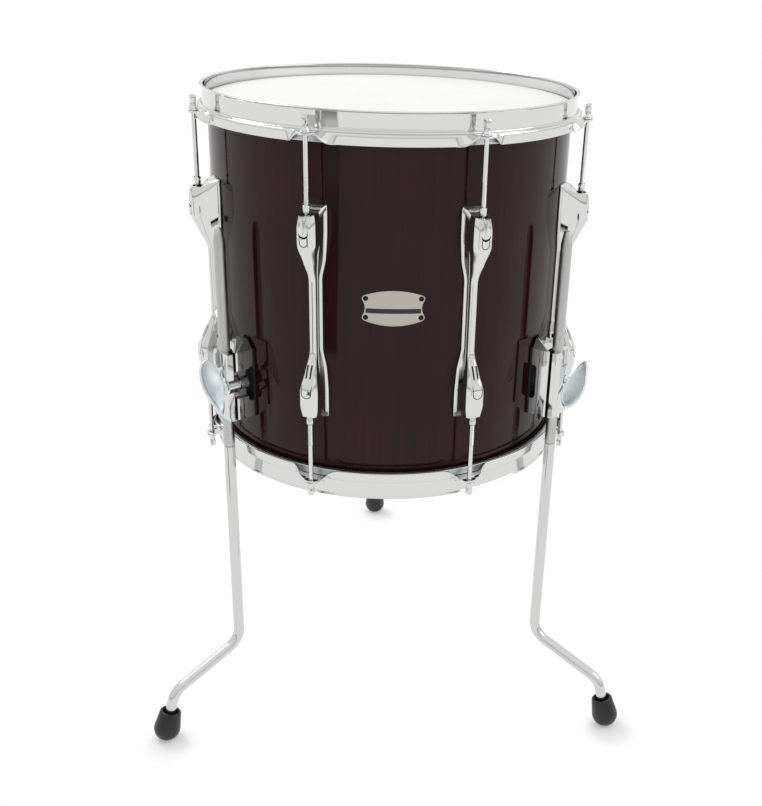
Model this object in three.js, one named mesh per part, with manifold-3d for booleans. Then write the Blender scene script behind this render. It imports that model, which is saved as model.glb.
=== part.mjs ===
// Floor tom: wooden shell, two tensioned heads, eight long lugs and three bent legs.
// Millimetres, +Z up, the badge faces -Y. The part stands on z = 0.
import * as THREE from "three";
import Module from "manifold-3d";
import { mergeVertices } from "three/addons/utils/BufferGeometryUtils.js";

const wasm = await Module();
wasm.setup();

// Clearances and overruns shared by all pieces
const seatGap = 0.3; // between pieces that rest on each other
const boltGap = 0.4; // around a screw in its hole
const cutOverrun = 1; // how far a cutting body passes the face that it cuts
const ringSides = 48; // facets round the drum

// Shell
const shellDiameter = 403;
const shellDepth = 381;
const shellWall = 6;
const edgeCrestInset = 1.5; // from the outer ply to the crest of the bearing edge
const shellGround = 336; // floor to the lower bearing edge

// Heads
const filmThickness = 0.4;
const collarDepth = 13;
const fleshRingWidth = 5.3;
const fleshRingHeight = 12.2;
const collarRoom = 2.8; // from the outer ply to the inside of the flesh ring

// Hoops, of one folded steel section
const hoopSteel = 2.3;
const rimRise = 13; // rim above the bearing edge
const rimDrop = 6.7; // step below the bearing edge
const rimClearance = 3; // from the outer ply to the inside of the rim
const lipReach = 2.2;
const lipHeight = 2.2;
const skirtGap = 0.6; // between flesh ring and skirt
const skirtLength = 14;
const earTabHalf = 7;
const earReachHalf = 28;
const earPastRod = 6.4; // from the rod's axis to the ear's end
const earCornerPastRod = 2.4;
const earRoundShares = [0, 0.8];
const earFoldShares = [0.4, 1];
const plainSteps = 4; // facets of the skirt between two ears

// Tension rods
const lugCount = 8;
const rodStandoff = 20.9; // from the shell to the rod's axis
const rodDiameter = 5.5;
const rodSides = 8;
const rodInLug = 24;
const washerDiameter = 11.6;
const washerHeight = 1.5;
const collarHeight = 6;
const keyHeadSide = 6.2;
const keyHeadHeight = 8;

// Lugs
const lugLength = 209; // between the ends of its two pods
const lugFlangeThickness = 2.4;
const lugPodWidth = 20.6;
const lugPodPastRod = 9.6; // from the rod's axis to the front of a pod
const lugWaistWidth = 7.9;
const lugWaistFront = 13.4;
const lugFlangeWidth = 26;
const lugWebWidth = 5;
const nutDiameter = 8.4;
const nutProjection = 9;
const nutBoreDepth = 34;

// Badge and vent
const badgeWidth = 60;
const badgeHeight = 34;
const badgeThickness = 1;
const badgeHeightShare = 0.528; // of the shell's depth
const badgeSideInset = 3.4;
const badgeCrown = 2.6;
const badgeCurveSteps = 4;
const ventAngle = 135; // from the badge
const ventHoleDiameter = 13;
const ventFlangeDiameter = 21;
const ventFlangeHeight = 2;
const ventBore = 9;
const ventInnerLip = 2;

// Leg brackets
const legStandoff = 26.5; // from the shell to the leg's axis
const bracketRise = 54; // from the lower bearing edge to the bracket's lower end
const bracketHeight = 78; // to the edge of the roof on top
const roofRise = 10;
const roofPeakShare = 0.12; // of the casting's outline
const bracketPlainSide = 12.8; // from the leg's axis to the plain side
const bracketBoltSide = 16.2; // from the leg's axis to the bolt's side
const bracketCornerCut = 4;
const gasketThickness = 1.8;
const gasketLip = 1.2;
const gasketSteps = 4;
const archHeight = 40;
const archDepth = 6.4;
const castingShort = 2.5; // from the leg's axis back to the front of the casting
const sidePocketHeight = 32;
const sidePocketDepth = 5;
const castingBossRadius = 6;
const jawFront = 9.2; // from the leg's axis to the front of the jaw
const jawWall = 6; // thickness of the jaw's bolt flange
const jawEndCut = 1;
const jawTipCut = 3;
const jawBossRadius = 9.3;
const jawBossBack = 6; // how far the boss dips into the casting
const jawBossFace = 1; // how far it stands in front of the flange
const jawBossRoom = 2.4; // between the boss and its recess in the casting

// Wing bolts
const boltAxisHeight = 41; // above the bracket's lower end
const boltOffset = 10.5; // beside the leg's axis
const boltDiameter = 6;
const boltInCasting = 12;
const boltCollarRadius = 5.2;
const boltCollarHeight = 2.6;
const wingLength = 48; // without its tail
const wingDepth = 24;
const wingThickness = 4.4;
const wingEdge = 1.4;
const wingOffset = 8.8; // of the paddle's middle, along its length
const wingTail = 13; // past the paddle's end
const wingTailFrom = 0.7; // share of the half length at which the tail starts
const wingHubRadius = 4.2;
const wingHubReach = 2.5; // past the paddle's near edge
const wingHubTip = 4.5; // the length of its pointed end
const wingStandoff = 0.5; // between the jaw's front and the paddle
const boltSides = 10;
const wingPoints = 14;

// Legs
const legDiameter = 10.5;
const legAboveBracket = 134;
const legTipLength = 14;
const legTipDiameter = 5;
const knurlBelowBracket = 35;
const legSides = 10;
const upperBendHeight = 92;
const lowerBendHeight = 58.5;
const lowerBendReach = 91; // from the leg's upper axis
const footReach = 108; // from the leg's upper axis to the foot on the floor
const bendRadius = 24;
const bendSteps = 3;

// Rubber feet
const footBallRadius = 14.6;
const footContactDrop = 0.8;
const footBodyLength = 22;
const footTopRadius = 11.6;
const footRecessRadius = 8.6;
const footRecessDepth = 6;
const footSocketDepth = 24;
const footSides = 12;
const footBallSteps = 4;

// Where the three legs stand, from the badge, and how their wings are turned
const legGroupTurn = 1.25; // of the three legs together
const legPlaces = [
  { side: "left", angle: -52.75, wingTurn: 29 },
  { side: "right", angle: 52.75, wingTurn: 131 },
  { side: "rear", angle: 180, wingTurn: 35 },
];

// Derived levels and radii
const halfTurn = 180;
const fullTurn = 2 * halfTurn;
const shellRadius = shellDiameter / 2;
const shellInner = shellRadius - shellWall;
const shellTop = shellGround + shellDepth;
const shellMiddle = shellGround + shellDepth / 2;
const fleshInner = shellRadius + collarRoom;
const fleshOuter = fleshInner + fleshRingWidth;
const rimInnerRadius = shellRadius + rimClearance;
const rimOuterRadius = rimInnerRadius + hoopSteel;
const skirtInner = fleshOuter + skirtGap;
const rodCircleRadius = shellRadius + rodStandoff;
const earLength = rodCircleRadius + earPastRod - skirtInner;
const earCornerLength = rodCircleRadius + earCornerPastRod - skirtInner;
const stepUnder = -rimDrop - hoopSteel;
const rodRadius = rodDiameter / 2;
const lugHalf = lugLength / 2;
const lugPodFront = rodStandoff + lugPodPastRod;
const legRadius = legDiameter / 2;
const legCircleRadius = shellRadius + legStandoff;
const lowerBendRadius = legCircleRadius + lowerBendReach;
const footRadius = legCircleRadius + footReach;
const castingFront = legStandoff - castingShort;
const castingBack = gasketThickness + 2 * seatGap;
const jawBack = legStandoff + seatGap;
const jawFace = legStandoff + jawFront;
const jawFlangeFace = jawBack + jawWall;
const jawBossSeat = jawFlangeFace + jawBossFace;
const jawBossEnd = jawBack - jawBossBack;
const bracketBottom = shellGround + bracketRise;
const bracketTop = bracketBottom + bracketHeight;
const legTop = bracketTop + legAboveBracket;
const knurlEnd = bracketBottom - knurlBelowBracket;
const boltAxis = bracketBottom + boltAxisHeight;
const boltRadius = boltDiameter / 2;

// Materials
function finish(color, roughness, metalness) {
  return new THREE.MeshStandardMaterial({ color, roughness, metalness });
}
const lacquer = finish("#2c1c1b", 0.12, 0);
const chrome = finish("#d6d8da", 0.08, 1);
const film = finish("#f2f3f2", 0.35, 0);
const aluminium = finish("#c4c6c8", 0.3, 1);
const rubber = finish("#191919", 0.7, 0);
const plate = finish("#cfc9b8", 0.3, 1);

// Helpers that keep every piece one closed body with its faces out
const radians = THREE.MathUtils.degToRad;
const point = (x, y, z) => new THREE.Vector3(x, y, z);

function sealed(geometry) {
  const bare = geometry.index ? geometry : mergeVertices(geometry);
  bare.deleteAttribute("normal");
  bare.deleteAttribute("uv");
  const welded = mergeVertices(bare);
  const places = welded.attributes.position;
  const corners = welded.index.array;
  const faces = [];
  let volume = 0;
  const [a, b, c] = [point(0, 0, 0), point(0, 0, 0), point(0, 0, 0)];
  for (let i = 0; i < corners.length; i += 3) {
    const [p, q, r] = [corners[i], corners[i + 1], corners[i + 2]];
    if (p === q || q === r || r === p) continue;
    faces.push([p, q, r]);
    a.fromBufferAttribute(places, p);
    b.fromBufferAttribute(places, q);
    c.fromBufferAttribute(places, r);
    volume += a.dot(b.cross(c));
  }
  const outward = volume < 0 ? faces.map(([p, q, r]) => [p, r, q]) : faces;
  welded.setIndex(outward.flat());
  return welded;
}

function toSolid(geometry) {
  const closed = sealed(geometry);
  const vertProperties = new Float32Array(closed.attributes.position.array);
  const triVerts = new Uint32Array(closed.index.array);
  return new wasm.Manifold(new wasm.Mesh({ numProp: 3, vertProperties, triVerts }));
}

function toGeometry(solid) {
  const mesh = solid.getMesh();
  const geometry = new THREE.BufferGeometry();
  geometry.setAttribute("position", new THREE.BufferAttribute(mesh.vertProperties, 3));
  geometry.setIndex(new THREE.BufferAttribute(mesh.triVerts, 1));
  return geometry;
}

// A skin over rings of as many points each, capped at both ends or joined end to end
function loft(rings, joined = false) {
  const count = rings[0].length;
  const places = rings.flat().flatMap((p) => [p.x, p.y, p.z]);
  const faces = [];
  const lastRing = joined ? rings.length : rings.length - 1;
  for (let i = 0; i < lastRing; i += 1) {
    const here = i * count;
    const next = ((i + 1) % rings.length) * count;
    for (let j = 0; j < count; j += 1) {
      const k = (j + 1) % count;
      faces.push(here + j, next + j, next + k, here + j, next + k, here + k);
    }
  }
  if (!joined) {
    const last = (rings.length - 1) * count;
    for (const [p, q, r] of capFaces(rings[0])) faces.push(p, q, r);
    for (const [p, q, r] of capFaces(rings.at(-1))) faces.push(last + p, last + r, last + q);
  }
  const geometry = new THREE.BufferGeometry();
  geometry.setAttribute("position", new THREE.Float32BufferAttribute(places, 3));
  geometry.setIndex(faces);
  return sealed(geometry);
}

// Triangles over one flat ring, turned the way that its points run
function capFaces(ring) {
  const normal = point(0, 0, 0);
  ring.forEach((p, i) => normal.add(p.clone().cross(ring[(i + 1) % ring.length])));
  normal.normalize();
  const across = ring[1].clone().sub(ring[0]).normalize();
  const along = normal.clone().cross(across);
  const flat = ring.map((p) => new THREE.Vector2(p.dot(across), p.dot(along)));
  return THREE.ShapeUtils.triangulateShape(flat, []);
}

// A closed profile of [radius, height] turned round the Z axis
function turned(profile, sides) {
  const points = profile.map(([radius, height]) => new THREE.Vector2(radius, height));
  if (profile[0][0] > 0) points.push(points[0].clone());
  return sealed(new THREE.LatheGeometry(points, sides).rotateX(Math.PI / 2));
}

function post(radius, low, high, sides) {
  return turned([[0, low], [radius, low], [radius, high], [0, high]], sides);
}

// A radial post: its axis points out of the drum at the place [across, height]
function radialPost(radius, inner, outer, sides, across, height) {
  return post(radius, inner, outer, sides).rotateX(Math.PI / 2).translate(across, -shellRadius, height);
}

function block(across, out, up) {
  const size = [across, out, up].map(([low, high]) => high - low);
  const middle = [across, out, up].map(([low, high]) => (high + low) / 2);
  return new THREE.BoxGeometry(...size).translate(middle[0], -shellRadius - middle[1], middle[2]);
}

// An outline of [across, out] at the shell's face, extruded upward
function upright(outline, low, high) {
  const ring = (z) => outline.map(([across, out]) => point(across, -shellRadius - out, z));
  return loft([ring(low), ring(high)]);
}

function arcPoints(radius, from, to, steps) {
  return Array.from({ length: steps + 1 }, (_, i) => {
    const angle = radians(from + ((to - from) * i) / steps);
    return [radius * Math.cos(angle), radius * Math.sin(angle)];
  });
}

const drum = new THREE.Group();
const tom = new THREE.Group();
tom.add(drum);

function addPiece(name, geometry, material, angle = 0) {
  const mesh = new THREE.Mesh(sealed(geometry), material);
  mesh.name = name;
  mesh.rotation.z = radians(angle);
  drum.add(mesh);
  return mesh;
}

const mirrored = (geometry) => sealed(geometry.clone().translate(0, 0, -shellMiddle).scale(1, 1, -1)
  .translate(0, 0, shellMiddle));
const lugAngles = Array.from({ length: lugCount }, (_, i) => (fullTurn * (i + 1 / 2)) / lugCount - halfTurn);

// Shell with 45 degree bearing edges and its vent hole
function makeShell() {
  const fall = shellWall - edgeCrestInset;
  const wall = turned([
    [shellRadius, shellGround + edgeCrestInset],
    [shellRadius - edgeCrestInset, shellGround],
    [shellInner, shellGround + fall],
    [shellInner, shellTop - fall],
    [shellRadius - edgeCrestInset, shellTop],
    [shellRadius, shellTop - edgeCrestInset],
  ], ringSides);
  const [inner, outer] = [-shellWall - cutOverrun, cutOverrun];
  const hole = radialPost(ventHoleDiameter / 2, inner, outer, boltSides, 0, shellMiddle);
  return toGeometry(toSolid(wall).subtract(toSolid(hole.rotateZ(radians(ventAngle)))));
}

// Rubber vent grommet: a flange outside, a throat through the wall and a small lip inside
function makeVent() {
  const throat = ventHoleDiameter / 2 - seatGap;
  const bore = ventBore / 2;
  const flange = ventFlangeDiameter / 2;
  const inside = -shellWall - 2 * seatGap;
  const grommet = turned([
    [bore, inside - ventInnerLip],
    [throat, inside - ventInnerLip],
    [throat, seatGap],
    [flange, seatGap],
    [flange - ventFlangeHeight / 2, seatGap + ventFlangeHeight],
    [bore, seatGap + ventFlangeHeight],
  ], boltSides);
  return grommet.rotateX(Math.PI / 2).translate(0, -shellRadius, shellMiddle);
}

// Badge: a thin plate bent round the shell, with crowned edges, drawn-in sides and no lettering
function makeBadge() {
  const middle = shellGround + shellDepth * badgeHeightShare;
  const inner = shellRadius + seatGap;
  const sheet = turned([
    [inner, middle - badgeHeight],
    [inner + badgeThickness, middle - badgeHeight],
    [inner + badgeThickness, middle + badgeHeight],
    [inner, middle + badgeHeight],
  ], 2 * ringSides);
  const [halfWide, halfTall] = [badgeWidth / 2, badgeHeight / 2 - badgeCrown];
  const outline = new THREE.Shape();
  outline.moveTo(-halfWide, -halfTall);
  outline.quadraticCurveTo(0, -halfTall - 2 * badgeCrown, halfWide, -halfTall);
  outline.quadraticCurveTo(halfWide - 2 * badgeSideInset, 0, halfWide, halfTall);
  outline.quadraticCurveTo(0, halfTall + 2 * badgeCrown, -halfWide, halfTall);
  outline.quadraticCurveTo(-halfWide + 2 * badgeSideInset, 0, -halfWide, -halfTall);
  const depth = shellRadius + badgeThickness + cutOverrun;
  const extrusion = { depth, bevelEnabled: false, curveSegments: badgeCurveSteps };
  const punch = new THREE.ExtrudeGeometry(outline, extrusion);
  punch.rotateX(Math.PI / 2).translate(0, 0, middle);
  return toGeometry(toSolid(sheet).intersect(toSolid(punch)));
}

// Head: a flat film over the bearing edge, drawn down to the flesh ring
function makeFilm() {
  const crest = shellRadius - edgeCrestInset;
  const bend = shellRadius + seatGap + edgeCrestInset / 4;
  return turned([
    [0, shellTop + seatGap + filmThickness],
    [crest + seatGap, shellTop + seatGap + filmThickness],
    [bend + filmThickness, shellTop - edgeCrestInset],
    [fleshInner - seatGap, shellTop - collarDepth],
    [fleshInner - seatGap - filmThickness, shellTop - collarDepth],
    [bend, shellTop - edgeCrestInset],
    [crest, shellTop + seatGap],
    [0, shellTop + seatGap],
  ], ringSides);
}

function makeFleshRing() {
  const top = shellTop + stepUnder - seatGap;
  const low = top - fleshRingHeight;
  return turned([
    [fleshInner, low],
    [fleshOuter, low],
    [fleshOuter, top],
    [fleshInner, top],
  ], ringSides);
}

// Hoop: rim, step and skirt of one folded sheet; at each rod the skirt folds out into an ear
function hoopSection(fromEar) {
  const past = (Math.abs(fromEar) - earTabHalf) / (earReachHalf - earTabHalf);
  const fold = THREE.MathUtils.smoothstep(past, 0, 1);
  const angle = (fold * Math.PI) / 2;
  const tabShare = Math.min(Math.abs(fromEar) / earTabHalf, 1);
  const roundedLength = earCornerLength + (earLength - earCornerLength) * Math.sqrt(1 - tabShare * tabShare);
  const length = past < 0 ? roundedLength : THREE.MathUtils.lerp(earCornerLength, skirtLength, fold);
  const [outX, outZ] = [Math.cos(angle), -Math.sin(angle)];
  const [topX, topZ] = [Math.sin(angle), Math.cos(angle)];
  const miter = hoopSteel * Math.tan(angle / 2);
  return [
    [rimOuterRadius, shellTop + rimRise - lipHeight],
    [rimOuterRadius, shellTop - rimDrop],
    [skirtInner + topX * hoopSteel - outX * miter, shellTop - rimDrop],
    [skirtInner + topX * hoopSteel + outX * length, shellTop + stepUnder + topZ * hoopSteel + outZ * length],
    [skirtInner + outX * length, shellTop + stepUnder + outZ * length],
    [skirtInner, shellTop + stepUnder],
    [rimInnerRadius, shellTop + stepUnder],
    [rimInnerRadius, shellTop + rimRise],
    [rimOuterRadius + lipReach, shellTop + rimRise],
  ];
}

function makeHoop() {
  const pitch = radians(fullTurn / lugCount);
  const tabPlaces = earRoundShares.map((share) => share * earTabHalf);
  const foldPlaces = earFoldShares.map((share) => THREE.MathUtils.lerp(earTabHalf, earReachHalf, share));
  const half = [...tabPlaces, ...foldPlaces].map((place) => [place, place / skirtInner]);
  const earAngle = earReachHalf / skirtInner;
  const plain = Array.from({ length: plainSteps - 1 }, (_, i) => {
    const angle = earAngle + ((pitch - 2 * earAngle) * (i + 1)) / plainSteps;
    return [earReachHalf, angle];
  });
  const before = half.slice(1).reverse().map(([place, angle]) => [place, -angle]);
  const stations = [...before, ...half, ...plain];
  const rings = lugAngles.flatMap((lugAngle) => stations.map(([place, angle]) => {
    const turn = radians(lugAngle) + angle;
    const [east, south] = [Math.sin(turn), -Math.cos(turn)];
    return hoopSection(place).map(([radius, height]) => point(radius * east, radius * south, height));
  }));
  let hoop = toSolid(loft(rings, true));
  const [low, high] = [shellTop + stepUnder - cutOverrun, shellTop + cutOverrun];
  for (const lugAngle of lugAngles) {
    const hole = post(rodRadius + boltGap, low, high, rodSides).translate(0, -rodCircleRadius, 0);
    hoop = hoop.subtract(toSolid(hole.rotateZ(radians(lugAngle))));
  }
  return toGeometry(hoop);
}

// Tension rod: square key head, flared collar and washer above the ear, threaded shank below
function makeRod() {
  const seat = shellTop - rimDrop + seatGap;
  const end = shellMiddle + lugHalf - rodInLug;
  const neck = keyHeadSide / 2;
  const shank = turned([
    [0, end],
    [rodRadius, end],
    [rodRadius, seat],
    [washerDiameter / 2, seat],
    [washerDiameter / 2, seat + washerHeight],
    [neck, seat + washerHeight + collarHeight],
    [0, seat + washerHeight + collarHeight],
  ], rodSides);
  const low = seat + washerHeight + collarHeight - seatGap;
  const head = new THREE.BoxGeometry(keyHeadSide, keyHeadSide, keyHeadHeight + seatGap)
    .translate(0, 0, low + (keyHeadHeight + seatGap) / 2);
  return toGeometry(toSolid(shank).add(toSolid(head))).translate(0, -rodCircleRadius, 0);
}

// Lug: a flange on the shell, a thin web and a front bar that swells into a pod at both ends.
// Each station gives its distance from the pod's end, how far its back leans past its front, and
// shares of the pod's or the waist's sizes. The first two close the pod with a leaning end wall.
const lugStations = [
  { from: 0, lean: 0.044, swell: 0.67, front: 0.82, flange: 0.92, web: 1 },
  { from: 0.066, lean: 0.094, swell: 0.97, front: 0.98, flange: 1, web: 1 },
  { from: 0.068, lean: 0.094, swell: 0.97, front: 0.98, flange: 1, web: 0 },
  { from: 0.13, lean: 0.06, swell: 0.99, front: 0.97, flange: 1, web: 0 },
  { from: 0.23, lean: 0.01, swell: 0.4, front: 0.5, flange: 0.7, web: 0 },
  { from: 0.33, lean: 0, swell: 0, front: 0, flange: 0, web: 0 },
];
const lugFrontFaceShare = 0.72; // of the bar's width
const lugShoulderShare = 0.8; // of the bar's front
const lugBarBackShare = 0.46; // of the bar's front, behind which the web starts
const lugWaistFlangeShare = 0.54; // of the flange's width

function lugRing({ from, lean, swell, front, flange, web }, end) {
  const lerp = THREE.MathUtils.lerp;
  const half = lerp(lugWaistWidth, lugPodWidth, swell) / 2;
  const reach = lerp(lugWaistFront, lugPodFront, front);
  const flangeHalf = (lugFlangeWidth * lerp(lugWaistFlangeShare, 1, flange)) / 2;
  const webHalf = lerp(lugWebWidth / 2, flangeHalf - seatGap, web);
  const face = lugFlangeThickness + seatGap;
  const back = reach * lugBarBackShare;
  const side = [
    [flangeHalf, seatGap],
    [flangeHalf, face],
    [webHalf, face + seatGap],
    [half, back],
    [half, reach * lugShoulderShare],
    [half * lugFrontFaceShare, reach],
  ];
  const other = side.map(([across, out]) => [-across, out]).reverse();
  return [...side, ...other].map(([across, out]) => {
    const inward = lugHalf - lugLength * (from - lean * (1 - out / lugPodFront));
    return point(across, -shellRadius - out, shellMiddle + end * inward);
  });
}

function makeLug() {
  const upper = lugStations.map((station) => lugRing(station, 1));
  const lower = lugStations.map((station) => lugRing(station, -1));
  let lug = toSolid(loft([...upper, ...lower.reverse()]));
  for (const end of [-1, 1]) {
    const level = (past) => shellMiddle + end * (lugHalf + past);
    const [deep, top] = [level(-nutBoreDepth), level(nutProjection + cutOverrun)];
    const nut = post(nutDiameter / 2, level(-nutProjection), level(nutProjection), rodSides);
    const bore = post(rodRadius + boltGap, deep, top, rodSides);
    lug = lug.add(toSolid(nut.translate(0, -rodCircleRadius, 0)));
    lug = lug.subtract(toSolid(bore.translate(0, -rodCircleRadius, 0)));
  }
  return toGeometry(lug);
}

// Gasket behind the bracket: its back follows the shell
function makeGasket() {
  const [low, high] = [-bracketPlainSide - gasketLip, bracketBoltSide + gasketLip];
  const back = Array.from({ length: gasketSteps + 1 }, (_, i) => {
    const across = low + ((high - low) * i) / gasketSteps;
    return [across, Math.sqrt((shellRadius + seatGap) ** 2 - across ** 2) - shellRadius];
  });
  const face = seatGap + gasketThickness;
  return upright([...back, [high, face], [low, face]], bracketBottom - gasketLip, bracketTop + gasketLip);
}

// What the leg and the wing bolt take up in the casting and the jaw
function legClearance() {
  const [low, high] = [bracketBottom - cutOverrun, bracketTop + cutOverrun];
  return post(legRadius + seatGap, low, high, legSides).translate(0, -legCircleRadius, 0);
}

function boltPost(radius, inner, outer) {
  return radialPost(radius, inner, outer, boltSides, boltOffset, boltAxis);
}

// Casting: a block with a low roof, an arch behind, a groove for the leg, a side pocket round the
// bolt's boss and a round recess for the jaw's boss
function makeCasting() {
  const groove = arcPoints(legRadius + seatGap, 0, -halfTurn, legSides / 2)
    .map(([across, out]) => [across, legStandoff + out])
    .filter(([, out]) => out < castingFront);
  const lift = castingFront;
  const outline = [
    [-bracketPlainSide, castingBack],
    [bracketBoltSide, castingBack],
    [bracketBoltSide, lift - bracketCornerCut],
    [bracketBoltSide - bracketCornerCut / 2, lift],
    [legRadius + seatGap, lift],
    ...groove,
    [-legRadius - seatGap, lift],
    [-bracketPlainSide + bracketCornerCut / 2, lift],
    [-bracketPlainSide, lift - bracketCornerCut],
  ];
  const middleOut = (castingBack + lift) / 2;
  const ring = (share, z) => outline.map(([across, out]) => (
    point(across * share, -shellRadius - THREE.MathUtils.lerp(middleOut, out, share), z)));
  const body = loft([ring(1, bracketBottom), ring(1, bracketTop), ring(roofPeakShare, bracketTop + roofRise)]);
  const across = [-bracketPlainSide - cutOverrun, bracketBoltSide + cutOverrun];
  const archMiddle = (bracketBottom + bracketTop) / 2;
  const arch = block(across, [castingBack - cutOverrun, castingBack + archDepth],
    [archMiddle - archHeight / 2, archMiddle + archHeight / 2]);
  const pocket = block([bracketBoltSide - sidePocketDepth, bracketBoltSide + cutOverrun],
    [castingBack - cutOverrun, lift + cutOverrun],
    [boltAxis - sidePocketHeight / 2, boltAxis + sidePocketHeight / 2]);
  const bossTop = jawBossEnd - jawBossRoom;
  const outside = lift + cutOverrun;
  const boss = boltPost(castingBossRadius, castingBack + archDepth, bossTop);
  const recess = boltPost(jawBossRadius + cutOverrun, bossTop, outside);
  const hole = boltPost(boltRadius + boltGap, lift - boltInCasting - cutOverrun, outside);
  return toGeometry(toSolid(body)
    .subtract(toSolid(arch))
    .subtract(toSolid(pocket))
    .add(toSolid(boss))
    .subtract(toSolid(recess))
    .subtract(toSolid(hole))
    .subtract(toSolid(legClearance())));
}

// Jaw: wraps the front of the leg, with a thinner flange beside it that the wing bolt presses
// through a round boss
function makeJaw() {
  const shoulder = boltOffset - boltCollarRadius - boltGap;
  const outline = [
    [-bracketPlainSide, jawBack],
    [bracketBoltSide, jawBack],
    [bracketBoltSide, jawFlangeFace - jawEndCut],
    [bracketBoltSide - jawEndCut, jawFlangeFace],
    [shoulder, jawFlangeFace],
    [shoulder - jawEndCut, jawFace - jawEndCut],
    [shoulder - 2 * jawEndCut, jawFace],
    [-bracketPlainSide + bracketCornerCut, jawFace],
    [-bracketPlainSide, jawFace - bracketCornerCut],
  ];
  const body = upright(outline, bracketBottom + seatGap, bracketTop - seatGap);
  const besideLeg = legRadius + 2 * seatGap;
  const tuck = block([-besideLeg, besideLeg], [jawBossEnd - cutOverrun, jawBack], [bracketBottom, bracketTop]);
  const boss = boltPost(jawBossRadius, jawBossEnd, jawBossSeat);
  const hole = boltPost(boltRadius + boltGap, jawBossEnd - cutOverrun, jawBossSeat + cutOverrun);
  let jaw = toSolid(body).add(toSolid(boss).subtract(toSolid(tuck)));
  jaw = jaw.subtract(toSolid(hole)).subtract(toSolid(legClearance()));
  const [left, right] = [-bracketPlainSide - cutOverrun, bracketBoltSide + cutOverrun];
  for (const [end, way] of [[bracketTop, -1], [bracketBottom, 1]]) {
    const wedge = [
      [jawFace + cutOverrun, end - way * cutOverrun],
      [jawFace + cutOverrun, end + way * (jawTipCut + cutOverrun)],
      [jawFace - jawTipCut - cutOverrun, end - way * cutOverrun],
    ];
    const ring = (across) => wedge.map(([out, z]) => point(across, -shellRadius - out, z));
    jaw = jaw.subtract(toSolid(loft([ring(left), ring(right)])));
  }
  return toGeometry(jaw);
}

// Wing bolt: threaded shank, collar on the jaw's boss, hub and one paddle shaped like a drop
function makeWingBolt(turn) {
  const seat = jawBossSeat + seatGap;
  const wingNear = jawFace + wingStandoff;
  const wingMiddle = wingNear + wingDepth / 2;
  const shank = turned([
    [0, castingFront - boltInCasting],
    [boltRadius, castingFront - boltInCasting],
    [boltRadius, seat],
    [boltCollarRadius, seat],
    [boltCollarRadius, seat + boltCollarHeight / 2],
    [wingHubRadius, seat + boltCollarHeight],
    [wingHubRadius, wingNear + wingHubReach],
    [0, wingNear + wingHubReach + wingHubTip],
  ], boltSides);
  const oval = (scale, thick) => Array.from({ length: wingPoints }, (_, i) => {
    const angle = (2 * Math.PI * i) / wingPoints;
    const pastTail = Math.max(-Math.cos(angle) - wingTailFrom, 0) / (1 - wingTailFrom);
    const long = wingOffset + (wingLength / 2 - scale) * Math.cos(angle) - wingTail * pastTail;
    return point(thick, long, wingMiddle + (wingDepth / 2 - scale) * Math.sin(angle));
  });
  const paddle = loft([
    oval(wingEdge, -wingThickness / 2),
    oval(0, -wingThickness / 4),
    oval(0, wingThickness / 4),
    oval(wingEdge, wingThickness / 2),
  ]);
  const bolt = toGeometry(toSolid(shank).add(toSolid(paddle))).rotateZ(radians(turn));
  return bolt.rotateX(Math.PI / 2).translate(boltOffset, -shellRadius, boltAxis);
}

// Upper leg: the straight knurled length with its tapered tip
function makeUpperLeg() {
  return turned([
    [0, knurlEnd],
    [legRadius, knurlEnd],
    [legRadius, legTop - legTipLength],
    [legTipDiameter / 2, legTop],
    [0, legTop],
  ], legSides).translate(0, -legCircleRadius, 0);
}

// The leg's centre line below the knurl, in [radius, height], with two round bends
const footTilt = Math.atan2(footRadius - lowerBendRadius, lowerBendHeight);
const footBallHeight = footBallRadius - footContactDrop;
const footBallCentre = footRadius - footBallHeight * Math.tan(footTilt);

function legLine() {
  const socketEnd = footBodyLength - footSocketDepth;
  const [sine, cosine] = [Math.sin(footTilt), Math.cos(footTilt)];
  const corners = [
    new THREE.Vector2(legCircleRadius, knurlEnd - seatGap),
    new THREE.Vector2(legCircleRadius, upperBendHeight),
    new THREE.Vector2(lowerBendRadius, lowerBendHeight),
    new THREE.Vector2(footBallCentre - socketEnd * sine, footBallHeight + socketEnd * cosine),
  ];
  const line = [corners[0]];
  for (let i = 1; i < corners.length - 1; i += 1) {
    const before = corners[i - 1].clone().sub(corners[i]).normalize();
    const after = corners[i + 1].clone().sub(corners[i]).normalize();
    const half = before.angleTo(after) / 2;
    const reach = bendRadius / Math.tan(half);
    const toCentre = before.clone().add(after).normalize().multiplyScalar(bendRadius / Math.sin(half));
    const centre = toCentre.add(corners[i]);
    const start = before.clone().multiplyScalar(reach).add(corners[i]).sub(centre);
    const end = after.clone().multiplyScalar(reach).add(corners[i]).sub(centre);
    const sweep = Math.atan2(start.cross(end), start.dot(end));
    for (let step = 0; step <= bendSteps; step += 1) {
      line.push(start.clone().rotateAround(new THREE.Vector2(0, 0), (sweep * step) / bendSteps).add(centre));
    }
  }
  line.push(corners.at(-1));
  return line;
}

function makeLowerLeg() {
  const line = legLine();
  const rings = line.map((here, i) => {
    const before = line[Math.max(i - 1, 0)];
    const after = line[Math.min(i + 1, line.length - 1)];
    const way = after.clone().sub(before).normalize();
    return Array.from({ length: legSides }, (_, j) => {
      const angle = (2 * Math.PI * j) / legSides;
      const aside = legRadius * Math.cos(angle);
      const across = legRadius * Math.sin(angle);
      return point(across, -(here.x - way.y * aside), here.y + way.x * aside);
    });
  });
  return loft(rings);
}

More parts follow.
